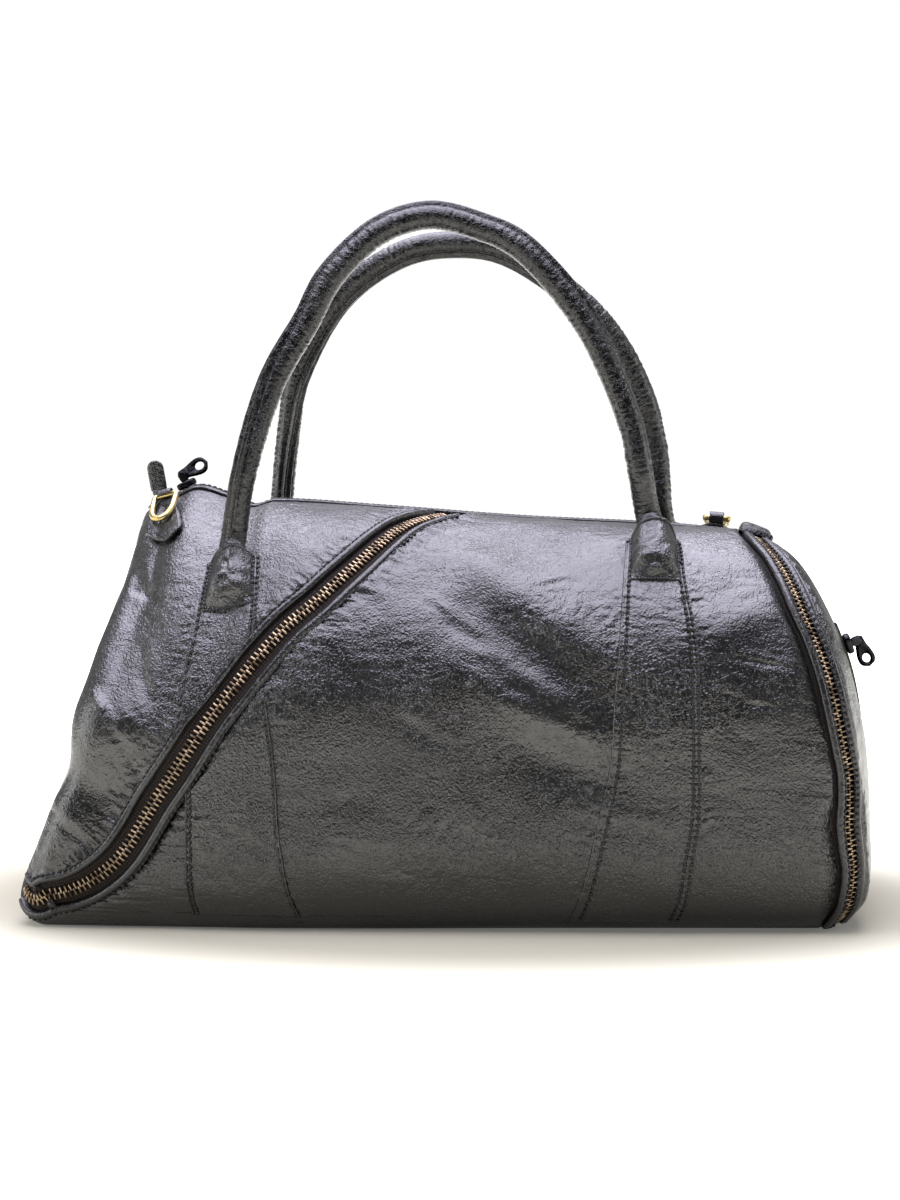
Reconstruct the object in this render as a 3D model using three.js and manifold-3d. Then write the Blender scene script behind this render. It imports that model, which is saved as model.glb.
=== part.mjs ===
// A leather boston bag with a top zip, a diagonal front zip and two rolled handles.
// Millimetres. +X runs to the viewer's right, the front faces -Y, +Z is up.
// The origin lies on the underside, below the middle of the bag.

import * as THREE from 'three';
import Module from 'manifold-3d';
import { mergeVertices } from 'three/addons/utils/BufferGeometryUtils.js';

const wasm = await Module();
wasm.setup();

// Overall form
const RIDGE_HEIGHT = 234;
const HALF_LENGTH = 218;
const HALF_DEPTH = 118;
const CORNER_RADIUS = 20;
const CORNER_TURN = THREE.MathUtils.degToRad(65);
const END_BULGE = 11;
const EDGE_SOFTNESS = 3;

// Leather and the layers on it
const WALL = 2;
const SEAM_GAP = 0.3;
const LAYER_GAP = 0.9;
const TAPE_GAP = 1.2;
const BAND_THICKNESS = 1.3;

// Zips
const ZIP_OPENING = 16;
const TOP_OPENING = 18;
const TAPE_WIDTH = 24;
const TAPE_THICKNESS = 1;
const TEETH_WIDTH = 7.6;
const TEETH_HEIGHT = 2.2;

// Handles
const HANDLE_DIAMETER = 15.2;
const HANDLE_RISE = 166;
const HANDLE_HALF_SPAN = 115;
const HANDLE_END_THICKNESS = 7.4;
const HANDLE_END_WIDTH = 18;

// Rings, tabs, sliders and pulls
const RING_WIRE = 3.6;
const RING_WIDTH = 17;
const RING_LENGTH = 27;
const RING_TAB_THICKNESS = 2.4;
const PULL_LENGTH = 19;
const PULL_WIDTH = 9;
const PULL_THICKNESS = 1.6;
const SLIDER_LENGTH = 12;
const SLIDER_WIDTH = 10;
const SLIDER_THICKNESS = 4;
const PIVOT_PIN = 1.6;
const END_TAB_HEIGHT = 22;
const END_TAB_WIDTH = 10;
const END_TAB_THICKNESS = 3;
const END_TAB_ROOT = 1.9;
const END_TAB_SHOULDER = 5;
const END_TAB_LEAN = THREE.MathUtils.degToRad(10);

// Colours
const LEATHER = { color: 0x38373a, roughness: 0.5, metalness: 0 };
const DARK_LEATHER = { color: 0x2a2a2c, roughness: 0.42, metalness: 0 };
const TAPE = { color: 0x2e2825, roughness: 0.9, metalness: 0 };
const ANTIQUE_BRASS = { color: 0x8f7350, roughness: 0.4, metalness: 1 };
const PALE_BRASS = { color: 0xd6cb80, roughness: 0.3, metalness: 1 };
const BLACK_METAL = { color: 0x242426, roughness: 0.4, metalness: 1 };

// The ridge line from left to right: share of the ridge's length, share of RIDGE_HEIGHT
const RIDGE = {
  at: [0, 0.04, 0.09, 0.14, 0.18, 0.37, 0.62, 0.87, 1],
  height: [1.034, 1.055, 1.034, 1.004, 1.017, 1, 0.974, 0.957, 0.94],
};
// The two end profiles: share of the local height, share of HALF_LENGTH
const LEFT_PROFILE = {
  at: [0, 0.08, 0.2, 0.35, 0.5, 0.65, 0.8, 0.92, 1],
  reach: [-1, -0.991, -0.936, -0.872, -0.835, -0.807, -0.771, -0.757, -0.748],
};
const RIGHT_PROFILE = {
  at: [0, 0.08, 0.2, 0.35, 0.5, 0.65, 0.8, 0.92, 1],
  reach: [0.982, 1.009, 1.005, 0.991, 0.972, 0.945, 0.899, 0.844, 0.771],
};
// Sections along the bag: share of the ridge's length, half depth as a share of HALF_DEPTH,
// how boxy the bottom corner is (a share of the height), and the power of the crown's curve
const SECTIONS = {
  at: [0, 0.15, 0.3, 0.6, 1],
  depth: [1, 1, 1, 0.966, 0.881],
  sink: [0.145, 0.137, 0.128, 0.068, 0.043],
  crown: [1.4, 1.75, 2.05, 2.2, 2.3],
};
const WIDEST_AT = 0.42;
const BOTTOM_POWER = 4.6;

// Dents and folds pressed into the leather: place on the skin (s, v), turn in degrees,
// half length, half width and depth (out is positive), all lengths as shares of RIDGE_HEIGHT
const FOLDS = [
  { name: 'left shoulder hollow', s: -1.5, v: 0.24, turn: 55, length: 0.13, width: 0.055, depth: -0.015 },
  { name: 'left waist hollow', s: -0.97, v: 0.43, turn: 60, length: 0.2, width: 0.11, depth: -0.02 },
  { name: 'left waist fold', s: -0.98, v: 0.62, turn: 20, length: 0.16, width: 0.06, depth: 0.014 },
  { name: 'left foot hollow', s: -1.0, v: 0.76, turn: 25, length: 0.15, width: 0.06, depth: -0.016 },
  { name: 'upper diagonal ridge', s: 0.23, v: 0.35, turn: 40, length: 0.25, width: 0.06, depth: 0.016 },
  { name: 'upper diagonal hollow', s: 0.14, v: 0.44, turn: 38, length: 0.24, width: 0.07, depth: -0.014 },
  { name: 'lower diagonal ridge', s: 0.25, v: 0.57, turn: 28, length: 0.2, width: 0.06, depth: 0.014 },
  { name: 'lower diagonal hollow', s: 0.3, v: 0.66, turn: 20, length: 0.22, width: 0.07, depth: -0.012 },
  { name: 'crown hollow', s: 0.25, v: 0.19, turn: 10, length: 0.14, width: 0.07, depth: -0.012 },
  { name: 'right shoulder fold', s: 0.8, v: 0.36, turn: -30, length: 0.14, width: 0.06, depth: 0.01 },
  { name: 'front sag', s: -0.05, v: 0.84, turn: 0, length: 0.5, width: 0.12, depth: 0.014 },
  { name: 'back sag', s: 0.1, v: 3.2, turn: 0, length: 0.6, width: 0.14, depth: 0.014 },
  { name: 'back diagonal hollow', s: -0.1, v: 3.5, turn: 35, length: 0.3, width: 0.08, depth: -0.016 },
  { name: 'back diagonal ridge', s: 0.05, v: 3.42, turn: 35, length: 0.25, width: 0.07, depth: 0.014 },
  { name: 'left end hollow', s: -2.45, v: 3.3, turn: 0, length: 0.16, width: 0.16, depth: -0.03 },
  { name: 'right end hollow', s: 2.5, v: 3.4, turn: 0, length: 0.14, width: 0.14, depth: -0.02 },
];

// Centre line of the diagonal zip on the skin, from the top opening to the bottom left corner
const DIAGONAL_ZIP = {
  v: [0.053, 0.102, 0.156, 0.214, 0.269, 0.316, 0.368, 0.416, 0.478, 0.542, 0.605, 0.69, 0.781, 0.85,
    0.884],
  s: [-0.027, -0.099, -0.178, -0.251, -0.318, -0.381, -0.45, -0.52, -0.586, -0.646, -0.705, -0.757, -0.805,
    -0.828, -0.845],
};
const DIAGONAL_TAIL = {
  s: [-0.87, -0.92, -1.0, -1.15, -1.3, -1.45, -1.6, -1.78, -1.96],
  v: [0.91, 0.936, 0.95, 0.959, 0.963, 0.965, 0.966, 0.967, 0.968],
};
// Centre line of the zip round the front corner of the right end, wavy near the foot
const END_ZIP = {
  v: [0, 0.15, 0.24, 0.32, 0.38, 0.446, 0.537, 0.619, 0.668, 0.72, 0.771, 0.817, 0.862, 0.908, 0.959,
    1.1],
  s: [1.45, 1.36, 1.3, 1.29, 1.36, 1.41, 1.46, 1.52, 1.56, 1.51, 1.41, 1.42, 1.46, 1.38, 1.33, 1.33],
};
const END_ZIP_FOOT = 1.08;
const END_ZIP_HEAD = 0.03;
const END_SEAM = 1.45;
const POCKET_ZIP = { s: [2.36, 2.46, 2.56, 2.66, 2.76, 2.84], v: 0.09, width: 10 };

// Seams that run along the bag, and where the top opening narrows to a seam
const BASE_SEAM = 1.25;
const TOP_ZIP_ENDS = { left: -1.56, right: 0.86, taper: 0.1 };

// The edges of each handle band on the skin, from its top to its foot
const BAND_FOOT = 0.978;
const BANDS = [
  {
    name: 'front_left_upper_band', side: 1, hump: true,
    left: { v: [0.262, 0.34, 0.438, 0.531, 0.619, 0.66], s: [-0.812, -0.808, -0.797, -0.799, -0.797, -0.797] },
    right: { v: [0.246, 0.3, 0.348, 0.4, 0.425, 0.44], s: [-0.644, -0.634, -0.627, -0.615, -0.61, -0.605] },
  },
  {
    name: 'front_left_lower_band', side: 1, hump: false,
    left: { v: [0.765, 0.824, 0.905, 0.952, BAND_FOOT], s: [-0.73, -0.702, -0.66, -0.631, -0.617] },
    right: { v: [0.56, 0.63, 0.801, 0.9, BAND_FOOT], s: [-0.555, -0.528, -0.463, -0.402, -0.34] },
  },
  {
    name: 'front_right_band', side: 1, hump: true,
    left: { v: [0.172, 0.279, 0.413, 0.543, 0.677, 0.786, 0.888, BAND_FOOT],
      s: [0.562, 0.506, 0.457, 0.425, 0.406, 0.379, 0.359, 0.34] },
    right: { v: [0.165, 0.268, 0.428, 0.533, 0.668, 0.779, 0.862, BAND_FOOT],
      s: [0.75, 0.705, 0.684, 0.668, 0.657, 0.651, 0.636, 0.624] },
  },
  {
    name: 'back_left_band', side: -1, hump: true,
    left: { v: [0.25, 0.5, 0.75, BAND_FOOT], s: [-0.76, -0.75, -0.7, -0.66] },
    right: { v: [0.25, 0.5, 0.75, BAND_FOOT], s: [-0.58, -0.56, -0.52, -0.48] },
  },
  {
    name: 'back_right_band', side: -1, hump: true,
    left: { v: [0.2, 0.5, 0.75, BAND_FOOT], s: [0.6, 0.5, 0.47, 0.44] },
    right: { v: [0.2, 0.5, 0.75, BAND_FOOT], s: [0.79, 0.73, 0.71, 0.68] },
  },
];

// The standing part of each handle: across as a share of HANDLE_HALF_SPAN, rise as a share of
// HANDLE_RISE above RIDGE_HEIGHT, and lean as a share of HALF_DEPTH from the middle plane
const FRONT_ARCH = {
  across: [-0.965, -0.826, -0.661, -0.548, -0.304, -0.061, 0.183, 0.374, 0.696, 0.922, 0.974],
  rise: [0.12, 0.425, 0.63, 0.78, 0.94, 0.99, 0.95, 0.885, 0.63, 0.29, 0.12],
  lean: [-0.6, -0.55, -0.51, -0.48, -0.44, -0.41, -0.4, -0.4, -0.4, -0.42, -0.43],
};
const BACK_ARCH = {
  across: [-0.92, -0.855, -0.626, -0.296, -0.026, 0.287, 0.765, 0.974, 1.061],
  rise: [0.27, 0.49, 0.765, 0.92, 0.955, 0.92, 0.67, 0.43, 0.22],
  lean: [0.52, 0.47, 0.42, 0.38, 0.36, 0.36, 0.38, 0.43, 0.47],
};

// Smooth curve through a table, with the slope at each entry taken from its neighbours
function smooth(t, xs, ys) {
  const last = xs.length - 1;
  const x = Math.min(Math.max(t, xs[0]), xs[last]);
  let i = 0;
  while (i < last - 1 && x > xs[i + 1]) i += 1;
  const slope = (k) => {
    const a = Math.max(k - 1, 0);
    const b = Math.min(k + 1, last);
    return (ys[b] - ys[a]) / (xs[b] - xs[a]);
  };
  const h = xs[i + 1] - xs[i];
  const f = (x - xs[i]) / h;
  const f2 = f * f;
  const f3 = f2 * f;
  return (2 * f3 - 3 * f2 + 1) * ys[i] + (f3 - 2 * f2 + f) * h * slope(i)
    + (3 * f2 - 2 * f3) * ys[i + 1] + (f3 - f2) * h * slope(i + 1);
}

// Straight steps through a table
function steps(t, xs, ys) {
  const last = xs.length - 1;
  if (t <= xs[0]) return ys[0];
  if (t >= xs[last]) return ys[last];
  let i = 0;
  while (t > xs[i + 1]) i += 1;
  return ys[i] + (ys[i + 1] - ys[i]) * (t - xs[i]) / (xs[i + 1] - xs[i]);
}

const lerp = THREE.MathUtils.lerp;
const clamp = THREE.MathUtils.clamp;

// Cross section at share u along the bag. v runs round it: 0 at the ridge, 1 at the front bottom
// edge, 2 at the middle of the base, 3 at the back bottom edge and 4 at the ridge again. The crown
// and the belly are quarters of two superellipses about the widest height, and the base is flat.
function section(u, v) {
  const height = RIDGE_HEIGHT * smooth(u, RIDGE.at, RIDGE.height);
  const half = HALF_DEPTH * smooth(u, SECTIONS.at, SECTIONS.depth);
  const centre = WIDEST_AT * height;
  const low = centre + height * smooth(u, SECTIONS.at, SECTIONS.sink);
  const crown = smooth(u, SECTIONS.at, SECTIONS.crown);
  const edge = half * (1 - (centre / low) ** BOTTOM_POWER) ** (1 / BOTTOM_POWER);
  const edgeAngle = Math.PI - Math.atan2(edge, centre);
  const round = ((v % 4) + 4) % 4;
  const side = round > 2 ? 1 : -1;
  const w = round > 2 ? 4 - round : round;
  const angle = Math.min(w, 1) * edgeAngle;
  const power = Math.cos(angle) > 0 ? crown : BOTTOM_POWER;
  const reach = Math.cos(angle) > 0 ? height - centre : low;
  const rho = (Math.abs(Math.sin(angle) / half) ** power
    + Math.abs(Math.cos(angle) / reach) ** power) ** (-1 / power);
  let y = w > 1 ? edge * (2 - w) : rho * Math.sin(angle);
  let z = w > 1 ? 0 : centre + rho * Math.cos(angle);
  const soft = EDGE_SOFTNESS * Math.exp(-(((w - 1) / 0.045) ** 2));
  y -= soft;
  z += w > 1.15 ? 0 : soft * 0.6;
  return { y: side * y, z, height, half, centre };
}

// Smooth skin of the bag without its folds. s runs along it: -1 to 1 is the body, 1 to 2 the
// rounded corner and 2 to 3 the end panel from its rim to its middle (the left end is negative).
function plainSkin(s, v) {
  const far = Math.abs(s);
  const side = Math.sign(s);
  const u = (clamp(s, -1, 1) + 1) / 2;
  const cut = section(u, v);
  const turn = clamp(far - 1, 0, 1) * CORNER_TURN;
  const inward = clamp(far - 2, 0, 1);
  const inset = CORNER_RADIUS * (1 - Math.cos(turn));
  const y = cut.y * (1 - inset / cut.half) * (1 - inward);
  const rimZ = inset + cut.z * (1 - 2 * inset / cut.height);
  const z = cut.centre + (rimZ - cut.centre) * (1 - inward);
  const share = clamp(z / cut.height, 0, 1);
  const left = HALF_LENGTH * smooth(share, LEFT_PROFILE.at, LEFT_PROFILE.reach);
  const right = HALF_LENGTH * smooth(share, RIGHT_PROFILE.at, RIGHT_PROFILE.reach);
  const bulge = END_BULGE * (1 - (1 - inward) ** 2);
  const x = lerp(left, right, u) + side * (CORNER_RADIUS * Math.sin(turn) + bulge);
  return new THREE.Vector3(x, y, z);
}

const STEP = 0.004;

function outward(skin, s, v) {
  const limit = 3 - STEP * 2;
  const at = clamp(s, -limit, limit);
  const along = skin(at + STEP, v).sub(skin(at - STEP, v));
  const round = skin(at, v + STEP).sub(skin(at, v - STEP));
  return round.cross(along).normalize();
}

// How far the folds lift the leather at a place, in millimetres. A fold reaches through the bag
// only so far, and all folds fade towards the flat base.
const FOLD_REACH = 0.25;
const FADE = { from: 0.98, over: 0.12 };

function foldLift(s, v) {
  const here = plainSkin(s, v);
  const round = ((v % 4) + 4) % 4;
  let lift = 0;
  for (const fold of FOLDS) {
    const from = here.clone().sub(fold.centre);
    const a = from.dot(fold.along) / (fold.length * RIDGE_HEIGHT);
    const c = from.dot(fold.across) / (fold.width * RIDGE_HEIGHT);
    const b = from.dot(fold.out) / (FOLD_REACH * RIDGE_HEIGHT);
    lift += fold.depth * RIDGE_HEIGHT * Math.exp(-a * a - b * b - c * c);
  }
  return lift * clamp((Math.abs(round - 2) - FADE.from) / FADE.over, 0, 1);
}

for (const fold of FOLDS) {
  fold.centre = plainSkin(fold.s, fold.v);
  fold.out = outward(plainSkin, fold.s, fold.v);
  const level = new THREE.Vector3(0, 0, 1).cross(fold.out).normalize();
  if (fold.v > 2) level.negate();
  fold.along = level.applyAxisAngle(fold.out, -THREE.MathUtils.degToRad(fold.turn));
  fold.across = fold.out.clone().cross(fold.along);
}

// Skin with its folds, and the same lifted by a distance along the outward normal
function foldedSkin(s, v) {
  return plainSkin(s, v).addScaledVector(outward(plainSkin, s, v), foldLift(s, v));
}

function onSkin(s, v, lift) {
  return foldedSkin(s, v).addScaledVector(outward(foldedSkin, s, v), lift);
}

// A place on the skin moved by millimetres along s and round v
function moveAlong(place, alongS, roundV) {
  const parts = 6;
  let { s, v } = place;
  for (let i = 0; i < parts; i += 1) {
    const perS = plainSkin(s + STEP, v).distanceTo(plainSkin(s - STEP, v)) / (2 * STEP);
    const perV = plainSkin(s, v + STEP).distanceTo(plainSkin(s, v - STEP)) / (2 * STEP);
    s += alongS / parts / perS;
    v += roundV / parts / perV;
  }
  return { s, v };
}

// A line on the skin shifted sideways by millimetres, to its right when seen from outside
function shiftLine(line, distance) {
  return line.map((place, i) => {
    const a = line[Math.max(i - 1, 0)];
    const b = line[Math.min(i + 1, line.length - 1)];
    const along = plainSkin(b.s, b.v).sub(plainSkin(a.s, a.v)).normalize();
    const out = outward(plainSkin, place.s, place.v);
    const sideways = along.clone().cross(out).normalize().multiplyScalar(distance);
    const perS = plainSkin(place.s + STEP, place.v).sub(plainSkin(place.s - STEP, place.v));
    const perV = plainSkin(place.s, place.v + STEP).sub(plainSkin(place.s, place.v - STEP));
    perS.divideScalar(2 * STEP);
    perV.divideScalar(2 * STEP);
    const ss = perS.dot(perS);
    const sv = perS.dot(perV);
    const vv = perV.dot(perV);
    const ds = sideways.dot(perS);
    const dv = sideways.dot(perV);
    const det = ss * vv - sv * sv;
    return {
      s: place.s + (ds * vv - dv * sv) / det,
      v: place.v + (dv * ss - ds * sv) / det,
    };
  });
}

// Closed body from rings of points: each ring meets the next, the ends are capped or joined
function ringBody(rings, joined) {
  const positions = [];
  const index = [];
  const n = rings[0].length;
  for (const ring of rings) for (const p of ring) positions.push(p.x, p.y, p.z);
  const count = joined ? rings.length : rings.length - 1;
  for (let i = 0; i < count; i += 1) {
    const a = i * n;
    const b = ((i + 1) % rings.length) * n;
    for (let j = 0; j < n; j += 1) {
      const k = (j + 1) % n;
      index.push(a + j, b + j, a + k, a + k, b + j, b + k);
    }
  }
  if (!joined) {
    for (const [start, flip] of [[0, false], [(rings.length - 1) * n, true]]) {
      const middle = positions.length / 3;
      const centre = new THREE.Vector3();
      const ring = rings[start / n];
      for (const p of ring) centre.addScaledVector(p, 1 / n);
      positions.push(centre.x, centre.y, centre.z);
      for (let j = 0; j < n; j += 1) {
        const k = (j + 1) % n;
        if (flip) index.push(middle, start + k, start + j);
        else index.push(middle, start + j, start + k);
      }
    }
  }
  return bodyOf(positions, index);
}

// Geometry with its faces pointing out, whichever way the points ran
function bodyOf(positions, index) {
  let volume = 0;
  const at = (i) => new THREE.Vector3(positions[3 * i], positions[3 * i + 1], positions[3 * i + 2]);
  for (let i = 0; i < index.length; i += 3) {
    volume += at(index[i]).dot(at(index[i + 1]).cross(at(index[i + 2])));
  }
  if (volume < 0) {
    for (let i = 0; i < index.length; i += 3) [index[i], index[i + 1]] = [index[i + 1], index[i]];
  }
  const geometry = new THREE.BufferGeometry();
  geometry.setAttribute('position', new THREE.Float32BufferAttribute(positions, 3));
  geometry.setIndex(index);
  return geometry;
}

// Closed sheet over a grid of places, between two lifts above the skin. A lift may be a number
// or a function of the place.
function sheetBody(grid, low, high) {
  const rows = grid.length;
  const cols = grid[0].length;
  const lift = (value, place, i, j) => (typeof value === 'function' ? value(place, i, j) : value);
  const positions = [];
  for (const value of [high, low]) {
    grid.forEach((row, i) => row.forEach((place, j) => {
      const p = onSkin(place.s, place.v, lift(value, place, i, j));
      positions.push(p.x, p.y, p.z);
    }));
  }
  const index = [];
  const under = rows * cols;
  const quad = (a, b, c, d) => index.push(a, b, c, a, c, d);
  for (let i = 0; i < rows - 1; i += 1) {
    for (let j = 0; j < cols - 1; j += 1) {
      const a = i * cols + j;
      const d = a + cols;
      quad(a, d, d + 1, a + 1);
      quad(under + a, under + a + 1, under + d + 1, under + d);
    }
  }
  for (let i = 0; i < rows - 1; i += 1) {
    const a = i * cols;
    const b = a + cols;
    quad(a, under + a, under + b, b);
    quad(b + cols - 1, under + b + cols - 1, under + a + cols - 1, a + cols - 1);
  }
  const foot = (rows - 1) * cols;
  for (let j = 0; j < cols - 1; j += 1) {
    quad(j + 1, under + j + 1, under + j, j);
    quad(foot + j, under + foot + j, under + foot + j + 1, foot + j + 1);
  }
  return bodyOf(positions, index);
}

// Closed domed sheet from an outer rim to a middle point
function discBody(rimRings, middle, low, high) {
  const n = rimRings[0].length;
  const positions = [];
  for (const value of [high, low]) {
    for (const ring of rimRings) {
      for (const place of ring) {
        const p = onSkin(place.s, place.v, value);
        positions.push(p.x, p.y, p.z);
      }
    }
    const p = onSkin(middle.s, middle.v, 0);
    p.x += Math.sign(middle.s) * value;
    positions.push(p.x, p.y, p.z);
  }
  const half = rimRings.length * n + 1;
  const index = [];
  for (let i = 0; i < rimRings.length; i += 1) {
    for (let j = 0; j < n; j += 1) {
      const k = (j + 1) % n;
      const a = i * n + j;
      const b = i * n + k;
      if (i === rimRings.length - 1) {
        index.push(a, b, half - 1);
        index.push(half + b, half + a, half + half - 1);
      } else {
        index.push(a, b, b + n, a, b + n, a + n);
        index.push(half + a, half + b + n, half + b, half + a, half + a + n, half + b + n);
      }
    }
  }
  for (let j = 0; j < n; j += 1) {
    const k = (j + 1) % n;
    index.push(j, half + j, half + k, j, half + k, k);
  }
  return bodyOf(positions, index);
}

// Booleans on closed bodies
function toSolid(geometry) {
  const bare = geometry.clone();
  bare.deleteAttribute('normal');
  bare.deleteAttribute('uv');
  const merged = mergeVertices(bare, 1e-4);
  return new wasm.Manifold(new wasm.Mesh({
    numProp: 3,
    vertProperties: new Float32Array(merged.attributes.position.array),
    triVerts: new Uint32Array(merged.index.array),
  }));
}

function fromSolid(solid) {
  const mesh = solid.getMesh();
  const geometry = new THREE.BufferGeometry();
  geometry.setAttribute('position', new THREE.BufferAttribute(new Float32Array(mesh.vertProperties), 3));
  geometry.setIndex(new THREE.BufferAttribute(new Uint32Array(mesh.triVerts), 1));
  return geometry;
}

function join(first, ...others) {
  return fromSolid(others.reduce((solid, next) => solid.add(toSolid(next)), toSolid(first)));
}

function cut(first, ...others) {
  return fromSolid(others.reduce((solid, next) => solid.subtract(toSolid(next)), toSolid(first)));
}

const bag = new THREE.Group();

function addPiece(name, geometry, look, place) {
  const mesh = new THREE.Mesh(geometry, new THREE.MeshStandardMaterial(look));
  mesh.name = name;
  if (place) mesh.applyMatrix4(place);
  bag.add(mesh);
}

// Half of the gap beside the ridge, as a place on v: the top opening narrows to a seam at its ends
function topEdge(s) {
  const { left, right, taper } = TOP_ZIP_ENDS;
  const open = clamp(Math.min((s - left) / taper + 1, (right - s) / taper + 1), 0, 1);
  const half = lerp(SEAM_GAP / 2, TOP_OPENING / 2, open);
  return moveAlong({ s, v: 0 }, 0, half).v;
}

// The leather edges on both sides of the diagonal zip
const diagonalLine = [
  ...DIAGONAL_ZIP.v.map((v, i) => ({ s: DIAGONAL_ZIP.s[i], v })),
  ...DIAGONAL_TAIL.s.map((s, i) => ({ s, v: DIAGONAL_TAIL.v[i] })),
];
const upperEdge = shiftLine(diagonalLine, ZIP_OPENING / 2);
const lowerEdge = shiftLine(diagonalLine, -ZIP_OPENING / 2);
const KINK = DIAGONAL_ZIP.v.length;

// Centre line of the right end's edge all round, and half of its gap, which is a zip's width on
// the front and a seam's elsewhere
function endLine(v) {
  if (v <= END_ZIP_FOOT) return smooth(v, END_ZIP.v, END_ZIP.s);
  const foot = smooth(END_ZIP_FOOT, END_ZIP.v, END_ZIP.s);
  return lerp(foot, END_SEAM, clamp((v - END_ZIP_FOOT) / (BASE_SEAM - END_ZIP_FOOT), 0, 1));
}

function endHalfGap(v) {
  const head = clamp(v / END_ZIP_HEAD, 0, 1);
  const foot = clamp((BASE_SEAM - v) / (BASE_SEAM - END_ZIP_FOOT), 0, 1);
  return lerp(SEAM_GAP / 2, ZIP_OPENING / 2, Math.min(head, foot));
}

function endEdge(v, side) {
  return moveAlong({ s: endLine(v), v }, side * endHalfGap(v), 0).s;
}

// The left seam lies on the rim of the end panel. Gaps of the other seams are steps on s or v.
const LEFT_SEAM = -2;
const leftSeam = LEFT_SEAM + 0.024;
const LEFT_RIM = LEFT_SEAM - 0.012;
const SIDE_STEP = 0.0006;
const BASE_STEP = 0.0036;
const END_STEP = 0.006;

// Rows down the front of the left part, as shares of the way to the diagonal's tail, and the rows
// up the back: the shells on both sides of a seam share them
const FRONT_SHARES = [0, 0.035, 0.08, 0.15, 0.23, 0.31, 0.39, 0.48, 0.57, 0.66, 0.75, 0.84, 0.92, 1];
const EDGE_ROWS = [0.992, 1.04, 1.1];
const BASE_ROWS = [BASE_SEAM, 1.6, 2, 2.4, 4 - BASE_SEAM];
const BACK_ROWS = [2.9, 2.96, 3, 3.04, 3.12, 3.24, 3.37, 3.5, 3.62, 3.73, 3.83, 3.91, 3.96];

// Leather above and left of the diagonal zip
function makeFrontUpperPanel() {
  const cols = [0, 0.09, 0.22, 0.36, 0.47, 0.517, 0.558, 0.61, 0.661, 0.703, 0.8, 0.91, 1];
  const side = upperEdge.slice(0, KINK + 1);
  const foot = upperEdge.slice(KINK).reverse();
  const sideV = side.map((place) => place.v);
  const sideS = side.map((place) => place.s);
  const footS = foot.map((place) => place.s);
  const footV = foot.map((place) => place.v);
  const grid = FRONT_SHARES.map((down) => cols.map((across) => {
    const floor = steps(lerp(leftSeam, sideS[KINK], across), footS, footV);
    let place = { s: -1, v: 0.4 };
    for (let i = 0; i < 8; i += 1) {
      const v = lerp(topEdge(place.s), floor, down);
      const reach = v < sideV[0] ? sideS[0] + (v - sideV[0]) * (sideS[1] - sideS[0]) / (sideV[1] - sideV[0])
        : steps(v, sideV, sideS);
      place = { s: lerp(leftSeam, reach, across), v };
    }
    return place;
  }));
  addPiece('front_upper_panel', sheetBody(grid, -WALL, 0), LEATHER);
}

// Leather below and right of the diagonal zip, wrapped under the bottom edge to the base seam
const lowerRows = [];
function makeFrontLowerPanel() {
  const top = topEdge(0);
  const [first, second] = lowerEdge;
  const start = first.s + (top - first.v) * (second.s - first.s) / (second.v - first.v);
  const left = [{ s: start, v: top }, ...lowerEdge.slice(0, -1)];
  for (const v of [...EDGE_ROWS, BASE_SEAM - SIDE_STEP]) left.push({ s: leftSeam, v });
  const rightV = left.map((place) => place.v);
  const tail = [0.933, 0.945, 0.956, 0.966, 0.975, 0.984, 0.992, 1, 1.04, 1.1, BASE_SEAM - SIDE_STEP];
  tail.forEach((v, i) => {
    rightV[rightV.length - tail.length + i] = v;
  });
  lowerRows.push(...rightV);
  const cols = [0, 0.03, 0.08, 0.15, 0.23, 0.31, 0.39, 0.47, 0.55, 0.63, 0.71, 0.79, 0.87, 0.94, 0.975, 1];
  const grid = left.map((from, i) => {
    const to = { s: endEdge(rightV[i], -1), v: rightV[i] };
    return cols.map((across) => {
      const s = lerp(from.s, to.s, across);
      const v = lerp(from.v, to.v, across);
      const near = clamp(1 - (v - top) / 0.12, 0, 1);
      return { s, v: v + (topEdge(s) - top) * near };
    });
  });
  addPiece('front_lower_panel', sheetBody(grid, -WALL, 0), LEATHER);
}

// Rear leather from the base seam up to the top opening
function makeBackPanel() {
  const cols = [0, 0.06, 0.13, 0.21, 0.29, 0.313, 0.342, 0.371, 0.394, 0.47, 0.56, 0.65, 0.74, 0.83, 0.87, 0.93, 1];
  const rows = [4 - BASE_SEAM + SIDE_STEP, ...BACK_ROWS, 4];
  const grid = rows.map((row) => cols.map((across) => {
    const s = lerp(leftSeam, END_SEAM - END_STEP, across);
    return { s, v: row === 4 ? 4 - topEdge(s) : row };
  }));
  addPiece('back_panel', sheetBody(grid, -WALL, 0), LEATHER);
}

// Flat underside between the two base seams
function makeBasePanel() {
  const cols = [0, 0.06, 0.13, 0.24, 0.36, 0.48, 0.6, 0.72, 0.84, 0.92, 0.96, 1];
  const rows = [BASE_ROWS[0] + BASE_STEP, ...BASE_ROWS.slice(1, -1), BASE_ROWS.at(-1) - BASE_STEP];
  const grid = rows.map((v) => cols.map((across) => (
    { s: lerp(leftSeam, END_SEAM - END_STEP, across), v })));
  addPiece('base_panel', sheetBody(grid, -WALL, 0), LEATHER);
}

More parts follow.
